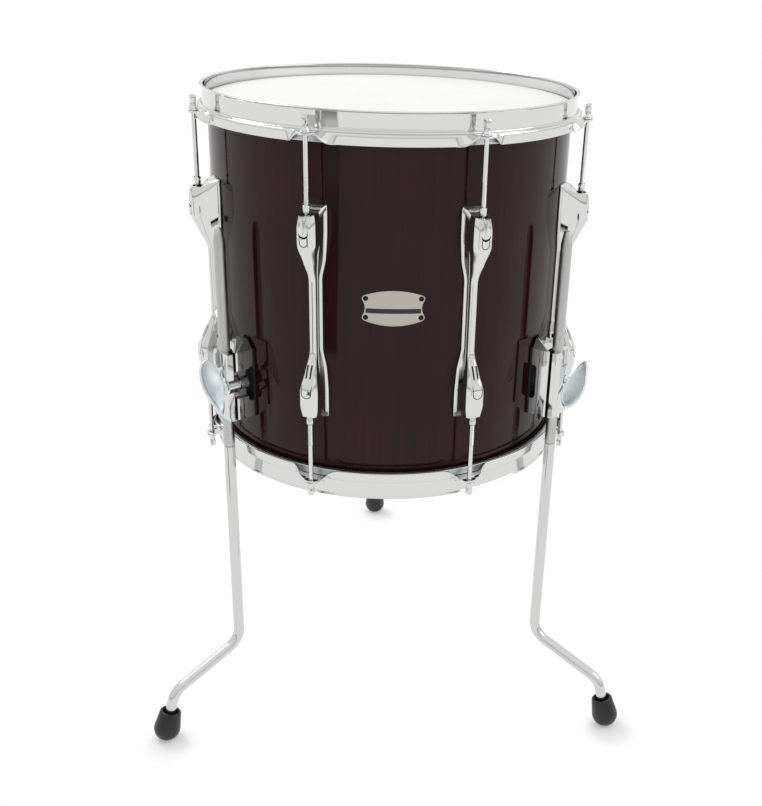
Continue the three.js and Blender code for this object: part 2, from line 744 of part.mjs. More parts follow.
// Rubber foot: a ball with a tapering collar, hollowed at its top, flat where it stands
function makeFoot() {
  const bore = legRadius + seatGap;
  const floor = footBallRadius;
  const ball = arcPoints(footBallRadius, -halfTurn / 2, 0, footBallSteps).slice(1);
  const body = turned([
    [0, -floor],
    ...ball,
    [footTopRadius, footBodyLength],
    [footRecessRadius, footBodyLength],
    [bore, footBodyLength - footRecessDepth],
    [bore, footBodyLength - footSocketDepth - seatGap],
    [0, footBodyLength - footSocketDepth - seatGap],
  ], footSides);
  body.rotateX(-footTilt).translate(0, -footBallCentre, footBallHeight);
  const [reach, deep] = [2 * footBallRadius, footBallRadius];
  const ground = new THREE.BoxGeometry(2 * reach, 2 * reach, deep).translate(0, -footBallCentre, -deep / 2);
  return toGeometry(toSolid(body).subtract(toSolid(ground)));
}

addPiece("shell", makeShell(), lacquer);
addPiece("badge", makeBadge(), plate);
addPiece("vent_grommet", makeVent(), rubber, ventAngle);

const hoop = makeHoop();
const filmDisc = makeFilm();
const fleshRing = makeFleshRing();
addPiece("top_hoop", hoop, chrome);
addPiece("bottom_hoop", mirrored(hoop), chrome);
addPiece("batter_head", filmDisc, film);
addPiece("resonant_head", mirrored(filmDisc), film);
addPiece("batter_flesh_ring", fleshRing, aluminium);
addPiece("resonant_flesh_ring", mirrored(fleshRing), aluminium);

const lug = makeLug();
const rod = makeRod();
lugAngles.forEach((angle, i) => {
  addPiece(`lug_${i + 1}`, lug.clone(), chrome, angle);
  addPiece(`top_rod_${i + 1}`, rod.clone(), chrome, angle);
  addPiece(`bottom_rod_${i + 1}`, mirrored(rod), chrome, angle);
});

for (const { side, angle: placed, wingTurn } of legPlaces) {
  const angle = placed + legGroupTurn;
  addPiece(`${side}_bracket`, makeCasting(), chrome, angle);
  addPiece(`${side}_bracket_gasket`, makeGasket(), rubber, angle);
  addPiece(`${side}_clamp_jaw`, makeJaw(), chrome, angle);
  addPiece(`${side}_wing_bolt`, makeWingBolt(wingTurn), chrome, angle);
  addPiece(`${side}_leg_upper`, makeUpperLeg(), chrome, angle);
  addPiece(`${side}_leg_lower`, makeLowerLeg(), chrome, angle);
  addPiece(`${side}_rubber_foot`, makeFoot(), rubber, angle);
}

// The origin is under the middle of the part's box
drum.updateMatrixWorld(true);
const extent = new THREE.Box3().setFromObject(drum, true);
const middle = extent.getCenter(point(0, 0, 0));
drum.position.set(-middle.x, -middle.y, 0);

export default tom;
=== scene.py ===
import math

import bmesh
import bpy
from mathutils import Matrix, Vector


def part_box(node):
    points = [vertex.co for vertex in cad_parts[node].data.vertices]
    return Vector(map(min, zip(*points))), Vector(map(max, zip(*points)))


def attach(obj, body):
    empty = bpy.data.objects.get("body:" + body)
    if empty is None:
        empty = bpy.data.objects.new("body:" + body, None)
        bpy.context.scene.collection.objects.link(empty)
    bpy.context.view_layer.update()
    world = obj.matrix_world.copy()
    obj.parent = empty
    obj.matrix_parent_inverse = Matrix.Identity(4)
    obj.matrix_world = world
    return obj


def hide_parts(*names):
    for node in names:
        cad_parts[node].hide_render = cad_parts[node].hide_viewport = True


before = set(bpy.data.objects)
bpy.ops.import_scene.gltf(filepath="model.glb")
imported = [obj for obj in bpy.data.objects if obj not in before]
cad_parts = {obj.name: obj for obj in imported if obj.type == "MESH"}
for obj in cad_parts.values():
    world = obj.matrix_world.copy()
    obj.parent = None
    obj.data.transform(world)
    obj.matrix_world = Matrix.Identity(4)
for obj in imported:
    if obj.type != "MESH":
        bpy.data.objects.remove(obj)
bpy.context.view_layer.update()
scene = bpy.context.scene
scene.view_settings.view_transform = "Standard"
print("frame loaded")

mm = 0.001
seam = 0.3  # mm between pieces that touch
shellLow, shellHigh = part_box("shell")
axisPlace = (shellLow + shellHigh) / 2
axisPlace.z = 0
shellRadius = (shellHigh.x - shellLow.x) / 2 / mm
shellGround = shellLow.z / mm
shellTop = shellHigh.z / mm
shellMiddle = (shellGround + shellTop) / 2
lugAngles = [-180 + 45 * (i + 0.5) for i in range(8)]  # counted from the badge, towards +X


# Colours and nodes
def toLinear(hexColour):
    channels = [int(hexColour[i:i + 2], 16) / 255 for i in (1, 3, 5)]
    return [c / 12.92 if c <= 0.04045 else ((c + 0.055) / 1.055) ** 2.4 for c in channels] + [1]


# Adds a node with its settings, inputs and ramp stops; a node given as an input lends its first output
def addNode(tree, kind, inputs=None, stops=(), **settings):
    node = tree.nodes.new("ShaderNode" + kind)
    for name, value in settings.items():
        setattr(node, name, value)
    for name, value in (inputs or {}).items():
        if isinstance(value, bpy.types.Node):
            value = next(output for output in value.outputs if not output.is_unavailable)
        if isinstance(value, bpy.types.NodeSocket):
            tree.links.new(value, node.inputs[name])
        else:
            node.inputs[name].default_value = value
    if stops:
        elements = node.color_ramp.elements
        while len(elements) < len(stops):
            elements.new(0.5)
        for element, (position, colour) in zip(elements, stops):
            element.position = position
            element.color = toLinear(colour) if isinstance(colour, str) else [colour] * 3 + [1]
    return node


def newMaterial(name, **inputs):
    material = bpy.data.materials.new(name)
    material.use_nodes = True
    tree = material.node_tree
    shader = tree.nodes["Principled BSDF"]
    for key, value in inputs.items():
        shader.inputs[key.replace("_", " ")].default_value = value
    return material, tree, shader


# Polished chrome over nickel: near-white mirror, softened a little by how the metal under it was worked
# The legs' and the knurl's colours are darker than the other chrome: painted shade, for the legs' darker
# reflections and the knurl's grooves
chromeLook = {"colour": "#d9dad8", "legPaintedShadeColour": "#d2d3d1", "knurlPaintedShadeColour": "#c2c3c1", "wingPaintedReflectionColour": "#dfe6ea",
              "hoopRoughness": 0.04, "castRoughness": 0.05, "legRoughness": 0.08, "knurlRoughness": 0.34,
              "wingRoughness": 0.36, "cloud": 25, "knurlPitch": 1.6, "knurlStarts": 20, "knurlDepth": 0.035}


def makeChrome(name, colour, roughness, waviness, waveSize):
    material, tree, shader = newMaterial(name, Base_Color=toLinear(colour), Metallic=1.0, Roughness=roughness)
    place = addNode(tree, "TexCoord").outputs["Object"]
    wave = addNode(tree, "TexNoise", {"Vector": place, "Scale": 1 / (waveSize * mm), "Detail": 1.0})
    cloud = addNode(tree, "TexNoise", {"Vector": place, "Scale": 1 / (chromeLook["cloud"] * mm),
                                       "Detail": 3.0})
    spread = addNode(tree, "MapRange", {"Value": cloud, "From Min": 0.3, "From Max": 0.7,
                                        "To Min": roughness * 0.7, "To Max": roughness * 1.5})
    bump = addNode(tree, "Bump", {"Height": wave, "Strength": 1.0, "Distance": waviness * mm})
    tree.links.new(spread.outputs["Result"], shader.inputs["Roughness"])
    tree.links.new(bump.outputs["Normal"], shader.inputs["Normal"])
    return material, tree, shader, place, bump


# Knurled chrome: two crossing sets of rolled grooves, drawn about a third coarser than real to show
def makeKnurledChrome():
    look = chromeLook
    material, tree, shader, place, wave = makeChrome("knurledSteelChromePlated", look["knurlPaintedShadeColour"],
                                                     look["knurlRoughness"], waviness=0.001, waveSize=12)
    parts = addNode(tree, "SeparateXYZ", {"Vector": place})
    turn = addNode(tree, "Math", {0: parts.outputs["Y"], 1: parts.outputs["X"]}, operation="ARCTAN2")
    around = addNode(tree, "Math", {0: turn, 1: look["knurlStarts"]}, operation="MULTIPLY")
    along = addNode(tree, "Math", {0: parts.outputs["Z"], 1: 2 * math.pi / (look["knurlPitch"] * mm)},
                    operation="MULTIPLY")
    grooves = []
    for way in ("ADD", "SUBTRACT"):
        mixed = addNode(tree, "Math", {0: along, 1: around}, operation=way)
        grooves.append(addNode(tree, "Math", {0: mixed}, operation="SINE"))
    height = addNode(tree, "Math", {0: grooves[0], 1: grooves[1]}, operation="MAXIMUM")
    bump = addNode(tree, "Bump", {"Height": height, "Strength": 1.0, "Distance": look["knurlDepth"] * mm,
                                  "Normal": wave})
    tree.links.new(bump.outputs["Normal"], shader.inputs["Normal"])
    return material


colour, castRoughness = chromeLook["colour"], chromeLook["castRoughness"]
hoopChrome = makeChrome("rolledSteelChromePlated", colour, chromeLook["hoopRoughness"], waviness=0.01,
                        waveSize=24)[0]
castChrome = makeChrome("dieCastZincChromePlated", colour, castRoughness, waviness=0.012, waveSize=11)[0]
rodChrome = makeChrome("drawnSteelRodChromePlated", colour, castRoughness, waviness=0.001, waveSize=9)[0]
# The wing's colour is lighter and bluer than the other chrome: a painted reflection
wingChrome = makeChrome("tumbledZincWingChromePlated", chromeLook["wingPaintedReflectionColour"], chromeLook["wingRoughness"],
                        waviness=0.01, waveSize=12)[0]
legChrome = makeChrome("bentSteelRodChromePlated", chromeLook["legPaintedShadeColour"], chromeLook["legRoughness"],
                       waviness=0.001, waveSize=20)[0]
knurledChrome = makeKnurledChrome()


# Painted shade: faces deep in narrow gaps, recesses and grooves get a dull, nearly black material that stands
# in for the shade there
paintedGapShade = newMaterial("paintedShadeInGaps", Base_Color=toLinear("#161616"), Roughness=0.7,
                       Specular_IOR_Level=0.1)[0]


# Walnut-stained ply under high-gloss polyester: nearly black, with red-brown grain deep under a clear coat
lacquerLook = {"stops": [(0.3, "#1c0c0d"), (0.5, "#260f11"), (0.72, "#361315")], "grainWidth": 6,
               "grainLength": 220, "figure": 90, "figureShare": 0.45, "poreWidth": 0.8,
               "poreStops": [(0.55, 1.0), (0.7, 0.8)], "coat": 0.9, "coatIndex": 1.3}


def makeLacquer():
    look = lacquerLook
    material, tree, shader = newMaterial("walnutStainedPlyHighGloss", Roughness=0.35,
                                         Coat_Weight=look["coat"], Coat_Roughness=0.02,
                                         Coat_IOR=look["coatIndex"], Specular_IOR_Level=0.0)
    place = addNode(tree, "TexCoord").outputs["Object"]
    across, along = 1 / (look["grainWidth"] * mm), 1 / (look["grainLength"] * mm)
    stretch = addNode(tree, "Mapping", {"Vector": place, "Scale": (across, across, along)})
    grain = addNode(tree, "TexNoise", {"Vector": stretch, "Scale": 1.0, "Detail": 5.0, "Roughness": 0.6,
                                       "Distortion": 0.4})
    figure = addNode(tree, "TexNoise", {"Vector": place, "Scale": 1 / (look["figure"] * mm), "Detail": 2.0})
    pores = addNode(tree, "TexNoise", {"Vector": stretch, "Scale": look["grainWidth"] / look["poreWidth"],
                                       "Detail": 2.0})
    blend = addNode(tree, "Mix", {"Factor": look["figureShare"], "A": grain, "B": figure}, data_type="FLOAT")
    colour = addNode(tree, "ValToRGB", {"Fac": blend}, look["stops"])
    poreMask = addNode(tree, "ValToRGB", {"Fac": pores}, look["poreStops"])
    stained = addNode(tree, "Mix", {"Factor": 1.0, "A": colour, "B": poreMask}, data_type="RGBA",
                      blend_type="MULTIPLY")
    tree.links.new(stained.outputs["Result"], shader.inputs["Base Color"])
    return material


# Coated polyester film: flat white with a faint sprayed tooth
filmLook = {"base": "#fbfbfa", "stops": [(0.3, "#f8f8f7"), (0.7, "#fcfcfb")], "tooth": 1.4,
            "toothDepth": 0.05, "cloud": 60}


def makeFilm():
    look = filmLook
    material, tree, shader = newMaterial("coatedPolyesterFilm", Base_Color=toLinear(look["base"]),
                                         Roughness=0.5, Specular_IOR_Level=0.4)
    place = addNode(tree, "TexCoord").outputs["Object"]
    tooth = addNode(tree, "TexNoise", {"Vector": place, "Scale": 1 / (look["tooth"] * mm), "Detail": 2.0})
    bump = addNode(tree, "Bump", {"Height": tooth, "Strength": 0.3, "Distance": look["toothDepth"] * mm})
    cloud = addNode(tree, "TexNoise", {"Vector": place, "Scale": 1 / (look["cloud"] * mm), "Detail": 2.0})
    tint = addNode(tree, "ValToRGB", {"Fac": cloud}, look["stops"])
    tree.links.new(tint.outputs["Color"], shader.inputs["Base Color"])
    tree.links.new(bump.outputs["Normal"], shader.inputs["Normal"])
    return material


# Moulded rubber: black with a dull sheen and fine mould texture
rubberLook = {"grit": 0.9, "gritDepth": 0.06, "smoother": 0.08, "rougher": 0.12}


def makeRubber(name, colour, roughness):
    look = rubberLook
    material, tree, shader = newMaterial(name, Base_Color=toLinear(colour), Roughness=roughness, IOR=1.52)
    place = addNode(tree, "TexCoord").outputs["Object"]
    grit = addNode(tree, "TexNoise", {"Vector": place, "Scale": 1 / (look["grit"] * mm), "Detail": 3.0})
    spread = addNode(tree, "MapRange", {"Value": grit, "To Min": roughness - look["smoother"],
                                        "To Max": roughness + look["rougher"]})
    bump = addNode(tree, "Bump", {"Height": grit, "Strength": 0.5, "Distance": look["gritDepth"] * mm})
    tree.links.new(spread.outputs["Result"], shader.inputs["Roughness"])
    tree.links.new(bump.outputs["Normal"], shader.inputs["Normal"])
    return material


# Brushed metal: fine lines round the drum, so it shows as a dull pale grey
def makeBrushed(name, colour, roughness, spread, lineLength, lineWidth, lineDepth):
    material, tree, shader = newMaterial(name, Base_Color=toLinear(colour), Metallic=1.0, Roughness=roughness)
    place = addNode(tree, "TexCoord").outputs["Object"]
    along, across = 1 / (lineLength * mm), 1 / (lineWidth * mm)
    stretch = addNode(tree, "Mapping", {"Vector": place, "Scale": (along, along, across)})
    brush = addNode(tree, "TexNoise", {"Vector": stretch, "Scale": 1.0, "Detail": 4.0})
    rough = addNode(tree, "MapRange", {"Value": brush, "To Min": spread[0], "To Max": spread[1]})
    bump = addNode(tree, "Bump", {"Height": brush, "Strength": 0.4, "Distance": lineDepth * mm})
    tree.links.new(rough.outputs["Result"], shader.inputs["Roughness"])
    tree.links.new(bump.outputs["Normal"], shader.inputs["Normal"])
    return material


lacquer = makeLacquer()
film = makeFilm()
footRubber = makeRubber("mouldedFootRubber", "#0a0a0b", 0.32)
gasketRubber = makeRubber("gasketRubber", "#101010", 0.6)
satinAluminium = makeBrushed("satinAluminium", "#c9cbcd", roughness=0.32, spread=(0.24, 0.42),
                             lineLength=25, lineWidth=0.4, lineDepth=0)
badgePlate = makeBrushed("brushedNickelPlate", "#beb9b0", roughness=0.38, spread=(0.28, 0.46),
                         lineLength=33.3, lineWidth=0.25, lineDepth=0.02)
bandEnamel = newMaterial("blackFilledBand", Base_Color=toLinear("#1b1716"), Roughness=0.3)[0]
rivetBrass = newMaterial("blackenedBrassRivet", Base_Color=toLinear("#2b2321"), Metallic=1.0,
                         Roughness=0.35)[0]
print("materials made")


# Mesh helpers: pieces are drawn in millimetres in front of the drum's axis, then turned round it
def meshFrom(name, verts, faces, material, smoothAngle=40):
    mesh = bpy.data.meshes.new(name)
    mesh.from_pydata([tuple(c * mm for c in v) for v in verts], [], faces)
    mesh.materials.append(material)
    work = bmesh.new()
    work.from_mesh(mesh)
    bmesh.ops.remove_doubles(work, verts=work.verts, dist=1e-7)
    bmesh.ops.recalc_face_normals(work, faces=work.faces)
    work.to_mesh(mesh)
    work.free()
    smooth(mesh, smoothAngle)
    return mesh


def smooth(mesh, angle=40):
    mesh.shade_smooth()
    mesh.set_sharp_from_angle(angle=math.radians(angle))


def loft(name, rings, material, joined=False, smoothAngle=40):
    count = len(rings[0])
    faces = []
    for i in range(len(rings) if joined else len(rings) - 1):
        here, there = i * count, (i + 1) % len(rings) * count
        faces += [(here + j, here + (j + 1) % count, there + (j + 1) % count, there + j)
                  for j in range(count)]
    if not joined:
        last = (len(rings) - 1) * count
        faces += [tuple(range(count)), tuple(last + j for j in reversed(range(count)))]
    return meshFrom(name, [v for ring in rings for v in ring], faces, material, smoothAngle)


def turned(name, profile, sides, material, smoothAngle=40):
    closed = profile[0][0] > 0
    verts, rows, faces = [], [], []
    for radius, height in profile:
        if radius <= 0:
            rows.append([len(verts)] * sides)
            verts.append((0, 0, height))
        else:
            rows.append(list(range(len(verts), len(verts) + sides)))
            for i in range(sides):
                turn = 2 * math.pi * i / sides
                verts.append((radius * math.cos(turn), radius * math.sin(turn), height))
    pairs = list(zip(rows, rows[1:] + rows[:1])) if closed else list(zip(rows, rows[1:]))
    for low, high in pairs:
        for i in range(sides):
            corners = [low[i], low[(i + 1) % sides], high[(i + 1) % sides], high[i]]
            face = list(dict.fromkeys(corners))
            if len(face) > 2:
                faces.append(face)
    return meshFrom(name, verts, faces, material, smoothAngle)


def roundCorners(points, radii, steps=4):
    out = []
    for i, here in enumerate(points):
        radius = radii[i] if isinstance(radii, (list, tuple)) else radii
        here, before, after = Vector(here), Vector(points[i - 1]), Vector(points[(i + 1) % len(points)])
        toBefore, toAfter = before - here, after - here
        half = toBefore.angle(toAfter) / 2 if toBefore.length and toAfter.length else math.pi / 2
        reach = min(radius / max(math.tan(half), 0.05), 0.48 * toBefore.length, 0.48 * toAfter.length)
        start, end = here + toBefore.normalized() * reach, here + toAfter.normalized() * reach
        for k in range(steps + 1):
            t = k / steps
            out.append(start * (1 - t) ** 2 + here * 2 * t * (1 - t) + end * t * t)
    return out


def moved(mesh, matrix):
    mesh.transform(matrix)
    return mesh


def place(name, mesh, body, slot, cadNodes, angle=0.0, at=(0, 0, 0)):
    piece = bpy.data.objects.new(name, mesh)
    scene.collection.objects.link(piece)
    spot = Vector(at) * mm
    spot.rotate(Matrix.Rotation(math.radians(angle), 3, "Z"))
    piece.location = axisPlace + spot
    piece.rotation_euler.z = math.radians(angle)
    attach(piece, body)
    if cadNodes:
        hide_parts(*cadNodes)
    return piece


# Runs one modifier on a mesh and gives the mesh that comes out
def modified(mesh, kind, **settings):
    subject = bpy.data.objects.new("subject", mesh)
    scene.collection.objects.link(subject)
    step = subject.modifiers.new("step", kind)
    for name, value in settings.items():
        setattr(step, name, value)
    bpy.context.view_layer.update()
    result = bpy.data.meshes.new_from_object(subject.evaluated_get(bpy.context.evaluated_depsgraph_get()))
    bpy.data.objects.remove(subject)
    result.name = mesh.name
    return result


def boolean(mesh, tool, operation="DIFFERENCE"):
    other = bpy.data.objects.new("tool", tool)
    scene.collection.objects.link(other)
    result = modified(mesh, "BOOLEAN", operation=operation, object=other, solver="EXACT",
                      material_mode="TRANSFER")
    bpy.data.objects.remove(other)
    return result


# The weighted normals keep the flat faces flat beside their rounded edges
def bevelled(mesh, width, segments=3, angle=30, smoothAngle=60):
    result = modified(mesh, "BEVEL", width=width * mm, segments=segments, limit_method="ANGLE",
                      angle_limit=math.radians(angle), harden_normals=False)
    smooth(result, smoothAngle)
    return modified(result, "WEIGHTED_NORMAL", keep_sharp=True)


def curveThrough(places, values, x):
    slopes = [(b - a) / (q - p) for p, q, a, b in zip(places, places[1:], values, values[1:])]
    inner = [0 if a * b <= 0 else 2 * a * b / (a + b) for a, b in zip(slopes, slopes[1:])]
    ends = [slopes[0], *inner, slopes[-1]]
    if x <= places[0]:
        return values[0]
    for i in range(len(places) - 1):
        if x <= places[i + 1]:
            h = places[i + 1] - places[i]
            t = (x - places[i]) / h
            return ((1 + 2 * t) * (1 - t) ** 2 * values[i] + t * (1 - t) ** 2 * h * ends[i]
                    + t * t * (3 - 2 * t) * values[i + 1] + t * t * (t - 1) * h * ends[i + 1])
    return values[-1]


def straightThrough(places, values, x):
    for (p, a), (q, b) in zip(zip(places, values), zip(places[1:], values[1:])):
        if x <= q:
            return a + (b - a) * (x - p) / (q - p)
    return values[-1]


def upright(name, outline, low, high, material):
    rings = [[(across, -shellRadius - out, z) for across, out in outline] for z in (low, high)]
    return loft(name, rings, material)


def tube(name, path, radius, material, sides=12):
    rings, turns = [], [2 * math.pi * j / sides for j in range(sides)]
    for i, here in enumerate(path):
        way = (path[min(i + 1, len(path) - 1)] - path[max(i - 1, 0)]).normalized()
        aside = way.cross(Vector((0, -1, 0))).normalized()
        front = aside.cross(way)
        rings.append([tuple(here + radius * (aside * math.cos(t) + front * math.sin(t))) for t in turns])
    return loft(name, rings, material)


# Tips a mesh that stands on the origin outward, so that its foot sits on the shell's face or further out
def tipped(mesh, across, height, out=0.0):
    spot = Matrix.Translation((across * mm, -(shellRadius + out) * mm, height * mm))
    return moved(mesh, spot @ Matrix.Rotation(math.radians(90), 4, "X"))


def radialTurned(name, profile, sides, across, height, material):
    return tipped(turned(name, profile, sides, material), across, height)


def rodProfile(radius, low, high):
    return [(0, low), (radius, low), (radius, high), (0, high)]


def upsideDown(mesh, name):
    copy = mesh.copy()
    copy.name = name
    copy.transform(Matrix.Translation((0, 0, 2 * shellMiddle * mm)) @ Matrix.Scale(-1, 4, (0, 0, 1)))
    copy.flip_normals()
    return copy


def joined(name, meshes, smoothAngle=40):
    work = bmesh.new()
    for mesh in meshes:
        work.from_mesh(mesh)
    result = bpy.data.meshes.new(name)
    work.to_mesh(result)
    work.free()
    for material in meshes[0].materials:
        result.materials.append(material)
    smooth(result, smoothAngle)
    return result


# Shell
shellSizes = {"wall": 6, "crestInset": 1.5, "crestRound": 0.5, "ventHole": 13, "ventAngle": 135, "sides": 256}


def buildShell():
    s = shellSizes
    fall = s["wall"] - s["crestInset"]
    profile = [(shellRadius, shellGround + s["crestInset"]), (shellRadius - s["crestInset"], shellGround),
               (shellRadius - s["wall"], shellGround + fall), (shellRadius - s["wall"], shellTop - fall),
               (shellRadius - s["crestInset"], shellTop), (shellRadius, shellTop - s["crestInset"])]
    rounded = roundCorners([(r, z, 0) for r, z in profile], s["crestRound"], 3)
    mesh = turned("shellWall", [(p.x, p.y) for p in rounded], s["sides"], lacquer)
    hole = radialTurned("hole", rodProfile(s["ventHole"] / 2, -2 * s["wall"], s["wall"]), 48, 0, shellMiddle,
                        lacquer)
    mesh = boolean(mesh, moved(hole, Matrix.Rotation(math.radians(s["ventAngle"]), 4, "Z")))
    smooth(mesh, 30)
    place("lacqueredShell", mesh, "drum", "lacquered_wood", ["shell"])


buildShell()
print("shell built")


# Vent grommet: a rubber sleeve through the shell with a rounded flange outside
ventSizes = {"flange": 10.5, "bore": 4.5, "inside": -8.6,
             "face": [(10.5, 1.0), (9.9, 1.8), (8.3, 2.3), (5.7, 2.3), (4.8, 2.0), (4.5, 1.4)]}


def buildVent():
    s = ventSizes
    hole = shellSizes["ventHole"] / 2 - seam
    profile = [(s["bore"], s["inside"]), (hole, s["inside"]), (hole, seam), (s["flange"], seam), *s["face"]]
    mesh = radialTurned("ventGrommetMesh", profile, 48, 0, shellMiddle, gasketRubber)
    place("ventRubber", mesh, "drum", "vent_rubber", ["vent_grommet"], shellSizes["ventAngle"])


buildVent()


# Heads
headSizes = {"film": 0.4, "collar": 13, "room": 2.8, "ringWidth": 5.3, "ringHeight": 8, "ringTop": 9.3,
             "ringCorner": 0.9, "crestCurve": [(-1.5, 0), (-0.2, 0.06), (0.8, 0.35)],
             "shoulder": 0.9, "wallFrom": 1.5, "sides": 192}


def buildHeads():
    s = headSizes
    crest = shellRadius - shellSizes["crestInset"]
    top = shellTop + seam + s["film"]
    bend = shellRadius + seam + shellSizes["crestInset"] / 4
    low = shellTop - s["collar"]
    inner = shellRadius + s["room"] - seam
    outer = [(0, top)] + [(crest + out, top - fall) for out, fall in s["crestCurve"]]
    outer += [(bend + 0.1, top - s["shoulder"]), (bend + s["film"], shellTop - s["wallFrom"]), (inner, low)]
    under = [(inner - s["film"], low), (bend, shellTop - s["wallFrom"] - 0.1), (crest, shellTop + seam),
             (0, shellTop + seam)]
    mesh = turned("batterFilmMesh", outer + under, s["sides"], film)
    place("batterFilm", mesh, "batter_side", "head_film", ["batter_head"])
    place("resonantFilm", upsideDown(mesh, "resonantFilmMesh"), "resonant_side", "head_film",
          ["resonant_head"])
    ringTop = shellTop - s["ringTop"]
    ringLow, near = ringTop - s["ringHeight"], shellRadius + s["room"]
    far = near + s["ringWidth"]
    corners = [(near, ringLow, 0), (far, ringLow, 0), (far, ringTop, 0), (near, ringTop, 0)]
    rounded = [(p.x, p.y) for p in roundCorners(corners, s["ringCorner"], 3)]
    ring = turned("batterRingMesh", rounded, s["sides"], satinAluminium)
    place("batterRing", ring, "batter_side", "flesh_ring_metal", ["batter_flesh_ring"])
    place("resonantRing", upsideDown(ring, "resonantRingMesh"), "resonant_side", "flesh_ring_metal",
          ["resonant_flesh_ring"])


buildHeads()
print("heads built")


# Hoops: one section folded from a sheet; near each rod the skirt swings up into a flat ear
hoopSizes = {"steel": 2.3, "rise": 14, "drop": 6.7, "clearance": 3, "lip": 2.2, "skirtInner": 210.2,
             "skirt": 9, "tabHalf": 7, "foldHalf": 28, "ear": 17.6, "earCorner": 13.4, "rodCircle": 222.4,
             "rodHole": 3.15, "radii": [0.5, 2.0, 3.2, 1.05, 1.05, 1.0, 3.0, 1.0, 1.0], "steps": 4,
             "tabSteps": 12, "foldSteps": 16, "plainSteps": 22}


def hoopSection(along):
    s = hoopSizes
    past = (abs(along) - s["tabHalf"]) / (s["foldHalf"] - s["tabHalf"])
    share = min(max(past, 0), 1)
    fold = share * share * (3 - 2 * share)
    angle = fold * math.pi / 2
    tab = min(abs(along) / s["tabHalf"], 1)
    roundedEar = s["earCorner"] + (s["ear"] - s["earCorner"]) * math.sqrt(1 - tab * tab)
    length = roundedEar if past < 0 else s["earCorner"] * (1 - fold) + s["skirt"] * fold
    outX, outZ, topX, topZ = math.cos(angle), -math.sin(angle), math.sin(angle), math.cos(angle)
    miter = s["steel"] * math.tan(angle / 2)
    inner, under = s["skirtInner"], shellTop - s["drop"] - s["steel"]
    rim = shellRadius + s["clearance"]
    corners = [(rim + s["steel"], shellTop + s["rise"] - s["lip"]), (rim + s["steel"], shellTop - s["drop"]),
               (inner + topX * s["steel"] - outX * miter, shellTop - s["drop"]),
               (inner + topX * s["steel"] + outX * length, under + topZ * s["steel"] + outZ * length),
               (inner + outX * length, under + outZ * length), (inner, under), (rim, under),
               (rim, shellTop + s["rise"]), (rim + s["steel"] + s["lip"], shellTop + s["rise"])]
    return roundCorners([(r, z, 0) for r, z in corners], s["radii"], s["steps"])


def buildHoops():
    s = hoopSizes
    tab = [math.sin(math.pi / 2 * i / s["tabSteps"]) * s["tabHalf"] for i in range(s["tabSteps"])]
    fold = [s["tabHalf"] + (s["foldHalf"] - s["tabHalf"]) * i / s["foldSteps"]
            for i in range(s["foldSteps"] + 1)]
    half = [(p, p / s["skirtInner"]) for p in tab + fold]
    start, pitch = s["foldHalf"] / s["skirtInner"], math.radians(45)
    plain = [(s["foldHalf"], start + (pitch - 2 * start) * i / s["plainSteps"])
             for i in range(1, s["plainSteps"])]
    stations = [(p, -a) for p, a in reversed(half[1:])] + half + plain
    sections = [hoopSection(p) for p, a in stations]
    rings = []
    for lug in lugAngles:
        for section, (p, angle) in zip(sections, stations):
            turn = math.radians(lug) + angle
            rings.append([(q.x * math.sin(turn), -q.x * math.cos(turn), q.y) for q in section])
    mesh = loft("topHoopMesh", rings, hoopChrome, joined=True, smoothAngle=35)
    holes = []
    for lug in lugAngles:
        hole = turned("hole", rodProfile(s["rodHole"], shellTop - 2 * s["drop"], shellTop + s["steel"]), 24,
                      hoopChrome)
        spot = Vector((0, -s["rodCircle"] * mm, 0))
        spot.rotate(Matrix.Rotation(math.radians(lug), 3, "Z"))
        holes.append(moved(hole, Matrix.Translation(spot)))
    mesh = boolean(mesh, joined("holes", holes))
    smooth(mesh, 35)
    place("topHoopFolded", mesh, "batter_side", "hoop_chrome", ["top_hoop"])
    place("bottomHoopFolded", upsideDown(mesh, "bottomHoopMesh"), "resonant_side", "hoop_chrome",
          ["bottom_hoop"])


buildHoops()
print("hoops built")


# Tension rods: drawn shank with a rolled thread on its lower half, washer, flared collar and square key head
rodSizes = {"radius": 2.75, "neckRadius": 2.45, "core": 2.3, "pitch": 1.058, "threadTop": 668, "end": 607,
            "seatAbove": 6.4, "washer": 5.8, "washerHeight": 1.5, "edge": 0.3, "key": 5.8, "keyHeight": 8,
            "collar": [(4.6, 0.05), (4.75, 0.5), (4.55, 1.2), (3.7, 2.1), (3.2, 3.7), (3.0, 6)],
            "rowsPerTurn": 6, "sides": 20, "fadeTop": 2, "fadeEnd": 1.5, "endShare": 0.3, "keySunk": 0.4,
            "keyFoot": 0.88, "keyCorner": 0.7, "keyTop": [(0.9, 0), (0.25, 0.35), (0, 0.9)]}


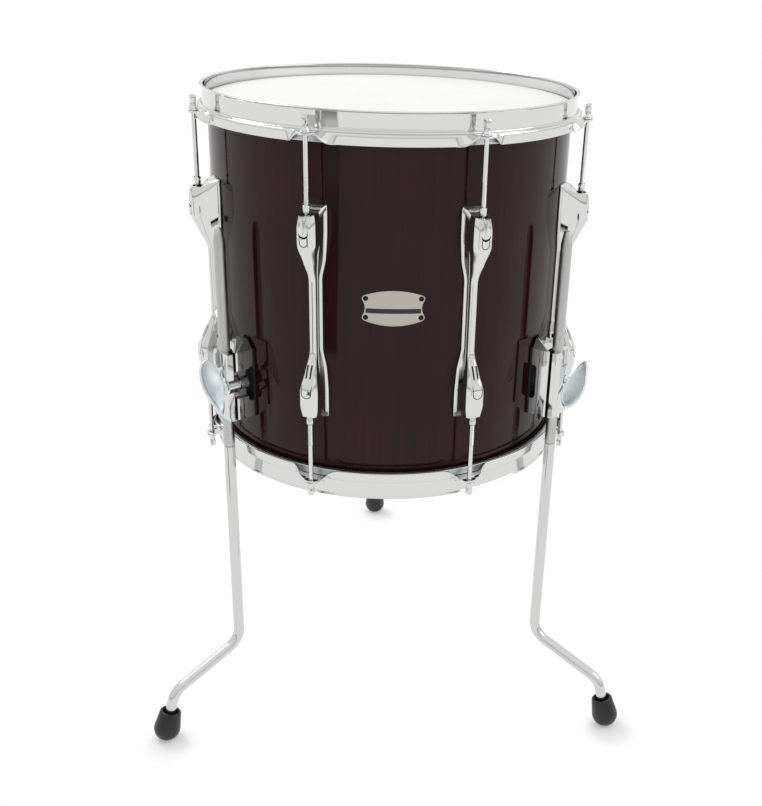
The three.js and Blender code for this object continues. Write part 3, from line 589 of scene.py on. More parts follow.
def makeRod():
    s = rodSizes
    seat = shellTop - s["seatAbove"]
    rings, turns = [], [2 * math.pi * i / s["sides"] for i in range(s["sides"])]
    rows = int((s["threadTop"] - s["end"]) / s["pitch"] * s["rowsPerTurn"])
    for row in range(rows + 1):
        z = s["end"] + (s["threadTop"] - s["end"]) * row / rows
        easeOut = min(1, (s["threadTop"] - z) / s["fadeTop"], (z - s["end"]) / s["fadeEnd"] + s["endShare"])
        ring = []
        for turn in turns:
            tooth = abs(2 * ((z / s["pitch"] - turn / (2 * math.pi)) % 1) - 1)
            depth = (s["radius"] - s["core"]) * (1 - tooth)
            radius = (s["radius"] - depth) * easeOut + s["neckRadius"] * (1 - easeOut)
            ring.append((radius * math.cos(turn), radius * math.sin(turn), z))
        rings.append(ring)
    washer, edge, face = s["washer"], s["edge"], seat + s["washerHeight"]
    flare = [(s["neckRadius"], seat - edge), (washer - edge, seat), (washer, seat + edge),
             (washer, face - edge), (washer - edge, face)]
    flare += [(radius, face + rise) for radius, rise in s["collar"]]
    for radius, z in flare:
        rings.append([(radius * math.cos(turn), radius * math.sin(turn), z) for turn in turns])
    shank = loft("shank", rings, rodChrome, smoothAngle=32)
    low, h = face + s["collar"][-1][1] - s["keySunk"], s["key"] / 2
    top, corner = low + s["keyHeight"] + s["keySunk"], s["keyCorner"]
    levels = [(low, h * s["keyFoot"]), (low + corner, h)]
    levels += [(top - fall, h - inset) for fall, inset in s["keyTop"]]
    key = []
    for z, half in levels:
        square = [(half, half, z), (-half, half, z), (-half, -half, z), (half, -half, z)]
        key.append(roundCorners(square, corner, 3))
    head = loft("head", [[tuple(p) for p in ring] for ring in key], rodChrome, smoothAngle=32)
    return joined("topRodMesh", [shank, head], 32)


def buildRods():
    top = makeRod()
    bottom = top.copy()
    bottom.name = "bottomRodMesh"
    bottom.transform(Matrix.Translation((0, 0, 2 * shellMiddle * mm)) @ Matrix.Rotation(math.pi, 4, "Y"))
    for i, angle in enumerate(lugAngles):
        at = (0, -hoopSizes["rodCircle"], 0)
        place(f"topKeyRod{i + 1}", top, f"top_rod_{i + 1}", "rod_chrome", [f"top_rod_{i + 1}"], angle, at)
        place(f"bottomKeyRod{i + 1}", bottom, f"bottom_rod_{i + 1}", "rod_chrome", [f"bottom_rod_{i + 1}"],
              angle, at)


buildRods()
print("tension rods built")


# Lugs: a thin flange on the shell and a front bar with a pod at both ends, joined by sloping sides. Places
# count along the lug from a pod's end; the end wall leans, so that the flange passes the pod's end.
lugSizes = {"length": 209, "podWidth": 20.6, "podFront": 30.5, "waistWidth": 7.9, "waistFront": 13.4,
            "flange": 26, "waistFlange": 14, "flangeThickness": 2.4, "edgeFace": 2.4, "wallShare": 0.067,
            "endShare": 0.012, "endTaper": 2, "backShare": 0.46, "sideShare": 0.78, "frontShare": 0.66,
            "radii": [0.2, 0.9, 0.3, 0.1, 0.5, 2.6, 3.4],
            "nut": [(3.1, -8), (3.1, 7.6), (3.4, 11), (3.8, 10.6), (3.8, 5.6), (3.5, 5.2), (3.5, -8)],
            "endShares": [0, 0.002, 0.005, 0.009, 0.014, 0.022, 0.032, 0.044, 0.056, 0.0665, 0.0675],
            "waistShares": [0.36, 0.4, 0.45, 0.5], "nutHollow": 5.3, "hollowDepth": 5, "scoopRadius": 17,
            "scoopOut": 20, "scoopGap": 1.6, "from": [0, 0.066, 0.13, 0.23, 0.33, 0.5],
            "lean": [0.044, 0.094, 0.06, 0.01, 0, 0], "swell": [0.67, 0.97, 0.99, 0.4, 0, 0],
            "front": [0.84, 0.98, 0.97, 0.5, 0, 0], "spread": [0.92, 1, 1, 0.7, 0, 0], "fillet": 0.3,
            "ridgeRadius": 3.7, "ridgeProud": 1.3, "ridgePlaces": [(0, 1.5), (0, 6), (0, 17)],
            "mouthAt": 15.5, "mouthRadius": 5.2, "mouthDepth": 4.5, "mouthGap": 2.1, "tongueFrom": 19,
            "tongueEnd": 28.5, "tongueHalf": 4.1, "slotHalf": 5.4, "slotEnd": 21, "slotTop": 39,
            "slitFrom": 41, "slitTop": 54, "slitAcross": 2.2, "slitRadius": 0.9, "slitIn": 0.3,
            "grooveRadius": 0.45, "grooveIn": 0.1, "bodyFrom": 0.075, "bodyStep": 0.0085, "bodyRings": 32}


def lugFront(share):
    s = lugSizes
    return s["waistFront"] + (s["podFront"] - s["waistFront"]) * curveThrough(s["from"], s["front"], share)


def lugLevel(share, out, lean):
    return shellMiddle + lugSizes["length"] * (0.5 - share + lean * (1 - out / lugSizes["podFront"]))


def lugRing(share):
    s = lugSizes
    swell = curveThrough(s["from"], s["swell"], share)
    spread = curveThrough(s["from"], s["spread"], share)
    half = (s["waistWidth"] + (s["podWidth"] - s["waistWidth"]) * swell) / 2
    reach = lugFront(share)
    flange = (s["waistFlange"] + (s["flange"] - s["waistFlange"]) * spread) / 2
    flange -= s["endTaper"] * max(1 - share / s["endShare"], 0) ** 2
    lean = straightThrough(s["from"], s["lean"], share)
    face, back = s["flangeThickness"] + seam, reach * s["backShare"]
    slope = flange - 0.5 if share < s["wallShare"] else max(flange - s["edgeFace"], half + s["fillet"])
    side = [(flange, seam), (flange, face), (slope, face + s["fillet"]), (half, back - 0.2), (half, back),
            (half, reach * s["sideShare"]), (half * s["frontShare"], reach)]
    corners = side + [(-x, out) for x, out in reversed(side)]
    rounded = roundCorners([(x, out, 0) for x, out in corners], s["radii"] + s["radii"][::-1], 3)
    return [(q.x, -shellRadius - q.y, lugLevel(share, q.y, lean)) for q in rounded]


def lugPath(places, deeper):
    path = []
    for across, distance in places:
        share = distance / lugSizes["length"]
        path.append(Vector((across, -shellRadius - lugFront(share) + deeper, lugLevel(share, 0, 0))))
    return path


def mirroredDown(points):
    return [Vector((x, y, 2 * shellMiddle - z)) for x, y, z in points]


def tonguePlaces(half, start, end):
    way = 1 if end > start else -1
    bend = end - way * half
    turns = [math.radians(180 + 180 * i / 12) for i in range(13)]
    tip = [(half * math.cos(t), bend - way * half * math.sin(t)) for t in turns]
    side = [start + (bend - start) * i / 8 for i in range(8)]
    return [(-half, place) for place in side] + tip + [(half, place) for place in reversed(side)]


def makeLug():
    s = lugSizes
    shares = [s["bodyFrom"] + s["bodyStep"] * i for i in range(s["bodyRings"])]
    upper = [lugRing(share) for share in s["endShares"] + shares + s["waistShares"]]
    lower = [mirroredDown(ring) for ring in reversed(upper[:-1])]
    body = loft("body", upper + lower, castChrome, smoothAngle=50)
    atRod = Matrix.Translation((0, -hoopSizes["rodCircle"] * mm, 0))
    top = s["length"] / 2
    for way in (1, -1):
        def level(past):
            return shellMiddle + way * (top + past)
        scoop = turned("scoop", rodProfile(s["scoopRadius"], -s["podWidth"], s["podWidth"]), 96, castChrome)
        spot = Vector((0, -shellRadius - s["scoopOut"], level(s["scoopRadius"] + s["scoopGap"]))) * mm
        moved(scoop, Matrix.Translation(spot) @ Matrix.Rotation(math.radians(90), 4, "Y"))
        body = boolean(body, scoop)
        profile = rodProfile(s["nutHollow"], level(-s["hollowDepth"]), level(s["podWidth"]))
        body = boolean(body, moved(turned("hollow", profile, 40, castChrome), atRod))
    ridge = lugPath(s["ridgePlaces"], s["ridgeRadius"] - s["ridgeProud"])
    body = boolean(body, tube("ridge", ridge, s["ridgeRadius"], castChrome, 32), "UNION")
    mouthShare = s["mouthAt"] / s["length"]
    mouthLevel, mouthFront = lugLevel(mouthShare, 0, 0), lugFront(mouthShare)

    # The mouth's cut faces, the tongue and slot grooves and the slits take the painted gap shade
    def mouthPost(radius, inner, height):
        return radialTurned("mouth", rodProfile(radius, inner, s["podFront"] + 5), 40, 0, height, paintedGapShade)

    mouth = boolean(mouthPost(s["mouthRadius"], mouthFront - s["mouthDepth"], mouthLevel),
                    mouthPost(s["mouthRadius"], 0, mouthLevel + s["mouthGap"]))
    body = boolean(body, mouth)
    tongue = tonguePlaces(s["tongueHalf"], s["tongueFrom"], s["tongueEnd"])
    body = boolean(body, tube("tongue", lugPath(tongue, s["grooveIn"]), s["grooveRadius"], paintedGapShade))
    slot = tonguePlaces(s["slotHalf"], s["slotTop"], s["slotEnd"])
    slotPath = mirroredDown(lugPath(slot, s["grooveIn"]))
    body = boolean(body, tube("slot", slotPath, s["grooveRadius"], paintedGapShade))
    for across in (-s["slitAcross"], s["slitAcross"]):
        places = [(across, s["slitFrom"] + (s["slitTop"] - s["slitFrom"]) * i / 4) for i in range(5)]
        slitPath = mirroredDown(lugPath(places, s["slitIn"]))
        body = boolean(body, tube("slit", slitPath, s["slitRadius"], paintedGapShade))
    smooth(body, 40)
    nuts = []
    for way in (-1, 1):
        nut = turned("nut", [(r, shellMiddle + way * (top + z)) for r, z in s["nut"]], 32, castChrome)
        nuts.append(moved(nut, atRod))
    return joined("lugMesh", [body] + nuts, 40)


def buildLugs():
    mesh = makeLug()
    for i, angle in enumerate(lugAngles):
        place(f"castLug{i + 1}", mesh, "drum", "lug_chrome", [f"lug_{i + 1}"], angle)


buildLugs()
print("lugs built")


# Leg brackets: a cast block with an arch behind, a groove for the leg and a hollow round the bolt's boss
legAngles = {"left": -51.5, "right": 54, "rear": 181.25}  # degrees from the badge, towards +X
bracketSizes = {"bottom": 390, "height": 78, "roof": 10, "roofShare": 0.45, "roofDepth": 0.15, "plain": 12.8,
                "bolt": 16.2, "back": 2.4, "front": 22.8, "legOut": 26.5, "corner": 1.8, "arch": 40,
                "archDepth": 6.4, "pocket": 32, "pocketDepth": 5, "boss": 7.6, "recess": 10.3,
                "recessAt": 18.4, "boltAxis": 431, "boltAcross": 10.5, "boltHole": 3.4, "boltDepth": 13,
                "legHole": 6.45, "archCorner": 4.5, "pocketCorner": 3, "edge": 0.7, "over": 4, "archOver": 6,
                "padEdge": 0.6, "padCorner": 0.4}
jawSizes = {"back": 26.8, "face": 35.7, "flange": 6, "tip": 3, "corner": 4, "edge": 0.8, "boss": 9.3,
            "bossBack": 20.8, "bossFace": 33.8, "ribAcross": 13.4, "ribFace": 35, "notch": 4.4,
            "notchLow": 450, "notchBack": 29, "fillerTop": 448.5, "fillerInset": 0.9, "shoulderInset": 5.6,
            "shoulder": 1.6, "ribCorner": 0.8}


def legPost(radius, low, high):
    post = turned("post", rodProfile(radius, low, high), 48, castChrome)
    return moved(post, Matrix.Translation((0, -(shellRadius + bracketSizes["legOut"]) * mm, 0)))


def boltPost(radius, inner, outer):
    s = bracketSizes
    return radialTurned("post", rodProfile(radius, inner, outer), 40, s["boltAcross"], s["boltAxis"],
                        castChrome)


def roundedBlock(across, out, up, radius, axis, material=castChrome):
    flat = {"across": (out, up), "out": (across, up), "up": (across, out)}[axis]
    (a0, a1), (b0, b1) = flat
    outline = roundCorners([(a0, b0, 0), (a1, b0, 0), (a1, b1, 0), (a0, b1, 0)], radius, 6)
    span = {"across": across, "out": out, "up": up}[axis]
    rings = []
    for level in span:
        rings.append([{"across": (level, -shellRadius - p.x, p.y), "out": (p.x, -shellRadius - level, p.y),
                       "up": (p.x, -shellRadius - p.y, level)}[axis] for p in outline])
    return loft("block", rings, material)


# Painted shade: the casting's front face and the jaw's back face, which face each other across a narrow gap,
# take the painted gap shade
def paintGapShade(mesh, out, way):
    mesh.materials.append(paintedGapShade)
    for face in mesh.polygons:
        level = -face.center.y / mm - shellRadius
        if abs(level - out) < 0.3 and face.normal.y * way > 0.9:
            face.material_index = len(mesh.materials) - 1


def makeCasting():
    s = bracketSizes
    lift = s["front"]
    low, high = s["bottom"], s["bottom"] + s["height"]
    outline = [(-s["plain"], s["back"]), (s["bolt"], s["back"]), (s["bolt"], lift - s["corner"]),
               (s["bolt"] - s["corner"] / 2, lift), (-s["plain"] + s["corner"] / 2, lift),
               (-s["plain"], lift - s["corner"])]
    rings = []
    for share, depth, z in ((1, 1, low), (1, 1, high), (s["roofShare"], s["roofDepth"], high + s["roof"])):
        rings.append([(across * share, -shellRadius - s["back"] - (out - s["back"]) * depth, z)
                      for across, out in outline])
    body = loft("casting", rings, castChrome)
    middle = (low + high) / 2
    over, wide = s["over"], s["bolt"] + s["over"]
    # The arch's cut faces take the painted gap shade
    arch = roundedBlock((-wide, wide), (s["back"] - s["archOver"], s["back"] + s["archDepth"]),
                        (middle - s["arch"] / 2, middle + s["arch"] / 2), s["archCorner"], "across", paintedGapShade)
    body = boolean(body, arch)
    pocket = roundedBlock((s["bolt"] - s["pocketDepth"], wide), (s["back"] - over, lift + over),
                          (s["boltAxis"] - s["pocket"] / 2, s["boltAxis"] + s["pocket"] / 2),
                          s["pocketCorner"], "out")
    body = boolean(body, pocket)
    body = boolean(body, boltPost(s["boss"], s["back"] + s["archDepth"], s["recessAt"]), "UNION")
    body = boolean(body, boltPost(s["recess"], s["recessAt"], lift + over))
    body = boolean(body, boltPost(s["boltHole"], lift - s["boltDepth"], lift + over))
    body = boolean(body, legPost(s["legHole"], low - over, high + 2 * s["roof"]))
    body = bevelled(body, s["edge"], 3, 25, 35)
    paintGapShade(body, lift, -1)
    body.name = "castingMesh"
    return body


def makeJaw():
    s, j = bracketSizes, jawSizes
    back, face = j["back"], j["face"]
    flange = back + j["flange"]
    low, high = s["bottom"] + seam, s["bottom"] + s["height"] - seam
    shoulder = s["boltAcross"] - j["shoulderInset"]
    outline = [(-s["plain"], back), (s["bolt"], back), (s["bolt"], j["ribFace"] - 1.5 * j["ribCorner"]),
               (s["bolt"] - j["ribCorner"], j["ribFace"]), (j["ribAcross"], j["ribFace"]),
               (j["ribAcross"] - 1, flange), (shoulder + 0.6, flange), (shoulder - 1, face - j["shoulder"]),
               (shoulder - 2, face), (-s["plain"] + j["corner"], face), (-s["plain"], face - j["corner"])]
    body = upright("jaw", outline, low, high, castChrome)
    filler = roundedBlock((shoulder - 2, s["bolt"] - 1), (back + 1, face - j["fillerInset"]),
                          (low + 2, j["fillerTop"]), 0.5, "across")
    body = boolean(body, filler, "UNION")
    over, wide, besideLeg = s["over"], s["bolt"] + s["over"], s["legHole"] + seam
    boss = boltPost(j["boss"], j["bossBack"], j["bossFace"])
    tuck = roundedBlock((-wide, besideLeg), (j["bossBack"] - over, back), (low - over, high + over), 0.5,
                        "up")
    body = boolean(body, boltPost(j["boss"] + 2 * seam, j["bossFace"], face + over))
    body = boolean(body, boolean(boss, tuck), "UNION")
    body = boolean(body, boltPost(s["boltHole"], j["bossBack"] - over, face + over))
    for end, way in ((high, -1), (low, 1)):
        tip = [(face + 1, end - way), (face + 1, end + way * (j["tip"] + 1)),
               (face - j["tip"] - 1, end - way)]
        rings = [[(x, -shellRadius - out, z) for out, z in tip] for x in (-wide, wide)]
        body = boolean(body, loft("tip", rings, castChrome))
    body = boolean(body, legPost(s["legHole"], low - over, high + over))
    turns = [math.radians(180 + 15 * i) for i in range(13)]
    notch = [(j["notch"] * math.cos(t), j["notchLow"] + j["notch"] * (1 + math.sin(t))) for t in turns]
    notch = [(-j["notch"], high + over), *notch, (j["notch"], high + over)]
    rings = [[(x, -shellRadius - out, z) for x, z in notch] for out in (j["notchBack"], face + over)]
    body = boolean(body, loft("notch", rings, castChrome))
    body = bevelled(body, j["edge"], 3, 30, 35)
    paintGapShade(body, back, 1)
    body.name = "jawMesh"
    return body


# Wing bolts: a cast paddle with a dished face on each side
wingSizes = {"length": 48, "depth": 24, "thickness": 4.4, "offset": 8.8, "tail": 13, "tailFrom": 0.7,
             "hub": 4.2, "hubReach": 1, "hubTip": 1.6, "standoff": 0.5,
             "collar": [(5.2, 0), (5.2, 1.2), (4.7, 1.7), (4.4, 2.2), (4.2, 3.0)], "bolt": 3, "inCasting": 12,
             "rim": 1.6, "rimCorner": 0.3, "dish": 0.6, "dishFrom": 0.93, "core": 0.6,
             "edgeRows": [(0, 0.45), (0.25, 0.75), (0.7, 1.0)], "points": 96,
             "turns": {"left": 29, "right": 131, "rear": 35}}


def makeWingBolt(turn):
    s, b = wingSizes, bracketSizes
    flange = jawSizes["bossFace"] + seam
    near = jawSizes["face"] + s["standoff"]
    middle = near + s["depth"] / 2
    start = s["rim"] + s["rimCorner"]
    rows = s["edgeRows"] + [(s["rim"], 1.0), (start, s["dishFrom"])]
    for i in range(1, 9):
        share = i / 8
        fall = s["dish"] / s["thickness"] * 2 * math.sin(share * math.pi / 2)
        rows.append((start + (s["depth"] / 2 - s["core"] - start) * share, s["dishFrom"] - fall))
    rings = []
    for side, order in ((-1, rows[::-1]), (1, rows)):
        for inset, thick in order:
            ring = []
            for i in range(s["points"]):
                a = 2 * math.pi * i / s["points"]
                past = max(-math.cos(a) - s["tailFrom"], 0) / (1 - s["tailFrom"])
                tail = s["tail"] * past ** 1.3 * max(1 - inset / (2 * s["rim"]), 0) ** 0.5
                ring.append((side * thick * s["thickness"] / 2,
                             s["offset"] + (s["length"] / 2 - inset) * math.cos(a) - tail,
                             middle + (s["depth"] / 2 - inset) * math.sin(a)))
            rings.append(ring)
    paddle = loft("paddle", rings, wingChrome, smoothAngle=50)
    inner, tip = b["front"] - s["inCasting"], near + s["hubReach"]
    profile = [(0, inner), (s["bolt"] - 0.5, inner), (s["bolt"], inner + 0.5), (s["bolt"], flange)]
    profile += [(radius, flange + rise) for radius, rise in s["collar"]]
    profile += [(s["hub"], tip), (s["hub"] * 0.75, tip + s["hubTip"] * 0.4), (0, tip + s["hubTip"])]
    shank = turned("shank", profile, 48, wingChrome)
    bolt = joined("wingBoltMesh", [paddle, shank], 50)
    moved(bolt, Matrix.Rotation(math.radians(turn), 4, "Z"))
    return tipped(bolt, b["boltAcross"], b["boltAxis"])


def buildBrackets():
    casting, jaw = makeCasting(), makeJaw()
    s = bracketSizes
    low, high = -s["plain"] - s["padEdge"], s["bolt"] + s["padEdge"]
    backs = [low + (high - low) * i / 16 for i in range(17)]
    outline = [(x, math.sqrt((shellRadius + seam) ** 2 - x * x) - shellRadius) for x in backs]
    outline += [(high, s["back"] - seam), (low, s["back"] - seam)]
    pad = upright("gasketMesh", outline, s["bottom"] - s["padEdge"], s["bottom"] + s["height"] + s["padEdge"],
                  gasketRubber)
    pad = bevelled(pad, s["padCorner"], 2, 40)
    for side, angle in legAngles.items():
        place(f"{side}BracketCasting", casting, "drum", "bracket_chrome", [f"{side}_bracket"], angle)
        place(f"{side}BracketPad", pad, "drum", "gasket_rubber", [f"{side}_bracket_gasket"], angle)
        place(f"{side}JawCasting", jaw, f"{side}_clamp_jaw", "bracket_chrome", [f"{side}_clamp_jaw"], angle)
        place(f"{side}WingCasting", makeWingBolt(wingSizes["turns"][side]), f"{side}_wing_bolt",
              "wing_chrome", [f"{side}_wing_bolt"], angle)


buildBrackets()
print("brackets and wing bolts built")


# Legs: knurled down to a plain ring, then bent out and down again to the foot
legSizes = {"radius": 6.15, "circle": 228, "top": 602,
            "tip": [(6.15, 14), (5.85, 12.8), (3.8, 1.2), (3, 0.4), (2.2, 0), (0, 0)], "knurlEnd": 355,
            "upperBend": 92, "lowerBendOut": 91, "lowerBend": 58.5, "footOut": 108, "bend": 24,
            "bendSteps": 18, "sides": 40, "chamfer": 0.35}
footSizes = {"ball": 15.4, "drop": 1.6, "body": 22, "shoulder": (15.3, 1.5), "recess": 9.2, "recessDepth": 6,
             "rim": [(12.35, -1.2), (12, -0.5), (11.4, 0), (9.6, 0), (9.2, -0.5)],
             "floor": [(8.9, 0.6), (8.4, 0)], "socket": 24, "sides": 72, "webs": 3, "webWidth": 1.6,
             "webTurn": 0.4}
footTilt = math.atan2(legSizes["footOut"] - legSizes["lowerBendOut"], legSizes["lowerBend"])
footHeight = footSizes["ball"] - footSizes["drop"]
footCentre = legSizes["circle"] + legSizes["footOut"] - footHeight * math.tan(footTilt)


def legLine():
    s = legSizes
    socketEnd = footSizes["body"] - footSizes["socket"]
    spots = [(s["circle"], s["knurlEnd"] - seam), (s["circle"], s["upperBend"]),
             (s["circle"] + s["lowerBendOut"], s["lowerBend"]),
             (footCentre - socketEnd * math.sin(footTilt), footHeight + socketEnd * math.cos(footTilt))]
    corners = [Vector(spot) for spot in spots]
    line = [corners[0], corners[0] - Vector((0, 1))]
    for before, here, after in zip(corners, corners[1:], corners[2:]):
        toBefore, toAfter = (before - here).normalized(), (after - here).normalized()
        half = toBefore.angle(toAfter) / 2
        reach = s["bend"] / math.tan(half)
        centre = here + (toBefore + toAfter).normalized() * s["bend"] / math.sin(half)
        start, end = here + toBefore * reach - centre, here + toAfter * reach - centre
        sweep = math.atan2(start.x * end.y - start.y * end.x, start.dot(end))
        for step in range(s["bendSteps"] + 1):
            turn = Matrix.Rotation(sweep * step / s["bendSteps"], 2)
            line.append(turn @ start + centre)
    return line + [corners[-1]]


def makeLowerLeg():
    s = legSizes
    line = legLine()
    rings = []
    for i, here in enumerate(line):
        way = (line[min(i + 1, len(line) - 1)] - line[max(i - 1, 0)]).normalized()
        radius = s["radius"] - (s["chamfer"] if i == 0 else 0)
        ring = []
        for j in range(s["sides"]):
            a = 2 * math.pi * j / s["sides"]
            aside, across = radius * math.cos(a), radius * math.sin(a)
            ring.append((across, -(here.x - way.y * aside), here.y + way.x * aside))
        rings.append(ring)
    return loft("lowerLegMesh", rings, legChrome, smoothAngle=50)


def makeUpperLeg():
    s = legSizes
    profile = [(0, s["knurlEnd"]), (s["radius"] - s["chamfer"], s["knurlEnd"]),
               (s["radius"], s["knurlEnd"] + s["chamfer"])]
    profile += [(radius, s["top"] - fall) for radius, fall in s["tip"]]
    return turned("upperLegMesh", profile, 64, knurledChrome, smoothAngle=35)


def makeFoot():
    s = footSizes
    bore = legSizes["radius"] + seam
    ball = []
    for i in range(1, 19):
        a = math.radians(-90 + 5 * i)
        ball.append((s["ball"] * math.cos(a), s["ball"] * math.sin(a)))
    top, recess = s["body"], s["recess"]
    deep, end = top - s["recessDepth"], top - s["socket"] - seam
    profile = [(0, -s["ball"]), *ball, s["shoulder"]] + [(radius, top + rise) for radius, rise in s["rim"]]
    profile += [(radius, deep + rise) for radius, rise in s["floor"]]
    profile += [(bore + 0.3, deep), (bore, deep - 0.4), (bore, end), (0, end)]
    parts = [turned("foot", profile, s["sides"], footRubber, smoothAngle=40)]
    for i in range(s["webs"]):
        half = s["webWidth"] / 2
        outline = [(bore + 0.2, -half), (recess + 0.3, -half), (recess + 0.3, half), (bore + 0.2, half)]
        rings = [[(x, y, z) for x, y in outline] for z in (deep - 0.5, top - 1.2)]
        turn = 2 * math.pi * i / s["webs"] + s["webTurn"]
        parts.append(moved(loft("web", rings, footRubber), Matrix.Rotation(turn, 4, "Z")))
    mesh = joined("footMesh", parts, 40)
    moved(mesh, Matrix.Translation((0, -footCentre * mm, footHeight * mm))
          @ Matrix.Rotation(-footTilt, 4, "X"))
    half, deep = 3 * s["ball"], 2 * s["ball"]
    square = [(-half, -half), (half, -half), (half, half), (-half, half)]
    ground = loft("ground", [[(x, y - footCentre, z) for x, y in square] for z in (-deep, 0)], footRubber)
    mesh = boolean(mesh, ground)
    smooth(mesh, 40)
    return mesh


def buildLegs():
    upper, lower, foot = makeUpperLeg(), makeLowerLeg(), makeFoot()
    for side, angle in legAngles.items():
        place(f"{side}KnurledLeg", upper, f"{side}_leg_upper", "leg_chrome", [f"{side}_leg_upper"], angle,
              (0, -legSizes["circle"], 0))
        place(f"{side}BentLeg", lower, f"{side}_leg_lower", "leg_chrome", [f"{side}_leg_lower"], angle)
        place(f"{side}Foot", foot, f"{side}_leg_lower", "foot_rubber", [f"{side}_rubber_foot"], angle)


buildLegs()
print("legs and feet built")


# Badge: a pressed and brushed nickel plate with a blank dark band and four dark rivets
badgeSizes = {"thickness": 1, "heightShare": 0.528, "waist": 28.9, "crown": 18.7, "lobe": 3.6,
              "lobeFrom": -32, "lobeTo": 70, "border": 1.0, "relief": 0.3, "bandHeight": 5.0,
              "bandBelow": 2.9, "bandInset": 0.9, "spare": 1.3, "spread": 12, "steps": 60,
              "rivetAcross": 28.2, "rivetUp": 10.0, "over": 9, "edge": 0.18, "bandDepth": 0.2,
              "bandProud": 0.08,
              "dome": [(0, 0.9), (0.9, 0.82), (1.7, 0.55), (2.5, 0.2), (2.8, -0.1), (2.8, -0.6), (0, -0.6)]}


def badgeOutline(inset):
    s = badgeSizes
    corner = []
    for i in range(11):
        a = math.radians(s["lobeFrom"] + (s["lobeTo"] - s["lobeFrom"]) * i / 10)
        corner.append((s["rivetAcross"] + (s["lobe"] - inset) * math.cos(a),
                       s["rivetUp"] + (s["lobe"] - inset) * math.sin(a)))
    crownPull = 2 * (s["crown"] - inset) - corner[-1][1]
    waistPull = 2 * (s["waist"] - inset) - corner[0][0]

    def run(start, pull, end):
        return [tuple(start[k] * (1 - t) ** 2 + 2 * pull[k] * t * (1 - t) + end[k] * t * t for k in (0, 1))
                for t in (i / 16 for i in range(1, 16))]

    flip = [[(x * across, z * up) for x, z in corner] for across, up in ((1, 1), (-1, 1), (-1, -1), (1, -1))]
    flip = [flip[0], flip[1][::-1], flip[2], flip[3][::-1]]
    points = []
    for i, pull in enumerate(((0, crownPull), (-waistPull, 0), (0, -crownPull), (waistPull, 0))):
        points += flip[i] + run(flip[i][-1], pull, flip[(i + 1) % 4][0])
    return points


# One layer of the badge: an outline cut from a plate that follows the shell
def badgeLayer(name, inner, outer, outline, material):
    s = badgeSizes
    middle = shellGround + (shellTop - shellGround) * s["heightShare"]
    tall = s["crown"] + s["spare"]
    rings = []
    for i in range(s["steps"] + 1):
        a = math.radians(s["spread"] * (2 * i / s["steps"] - 1))
        rings.append([(r * math.sin(a), -r * math.cos(a), middle + z)
                      for r, z in ((inner, -tall), (outer, -tall), (outer, tall), (inner, tall))])
    punch = [[(x, -r, middle + z) for x, z in outline] for r in (inner - s["over"], outer + s["over"])]
    return boolean(loft(name, rings, material), loft("punch", punch, material), "INTERSECT")


def buildBadge():
    s = badgeSizes
    inner = shellRadius + seam
    outer = inner + s["thickness"]
    face = outer - s["relief"]
    plate = badgeLayer("plate", inner, outer, badgeOutline(0), badgePlate)
    field = badgeLayer("field", face, outer + 2, badgeOutline(s["border"]), badgePlate)
    plate = bevelled(boolean(plate, field), s["edge"], 2, 40, 40)
    plate.name = "badgePlateMesh"
    place("badgeNickel", plate, "drum", "badge_plate", ["badge"])
    edge, low = s["waist"] - s["bandInset"], -s["bandBelow"] - s["bandHeight"] / 2
    high = low + s["bandHeight"]
    corners = [(-edge, low), (edge, low), (edge, high), (-edge, high)]
    band = badgeLayer("badgeBandMesh", face - s["bandDepth"], face + s["bandProud"], corners, bandEnamel)
    smooth(band, 30)
    place("badgeBand", band, "drum", "badge_plate", [])
    middle = shellGround + (shellTop - shellGround) * s["heightShare"]
    rivets = []
    for across in (-s["rivetAcross"], s["rivetAcross"]):
        for up in (-s["rivetUp"], s["rivetUp"]):
            rivet = tipped(turned("rivet", s["dome"], 32, rivetBrass), 0, middle + up, face - shellRadius)
            rivets.append(moved(rivet, Matrix.Rotation(math.asin(across / outer), 4, "Z")))
    place("badgeRivets", joined("badgeRivetMesh", rivets), "drum", "badge_plate", [])


buildBadge()
print("badge built")


# World: a white studio, plain white to the camera. Mirrors see a bright backdrop behind and beside the drum,
# a bright panel overhead, a slightly darker room behind the camera and a thin dark strip above the horizon.
worldLook = {"side": 0.95, "room": 0.85, "roomFrom": -0.35, "roomTo": -0.75, "top": 1.0, "topFrom": 0.4,
             "topTo": 0.7, "strip": 0.55, "stripAt": 0.06, "stripHalf": 0.03, "stripEnd": 0.07, "light": 0.78}


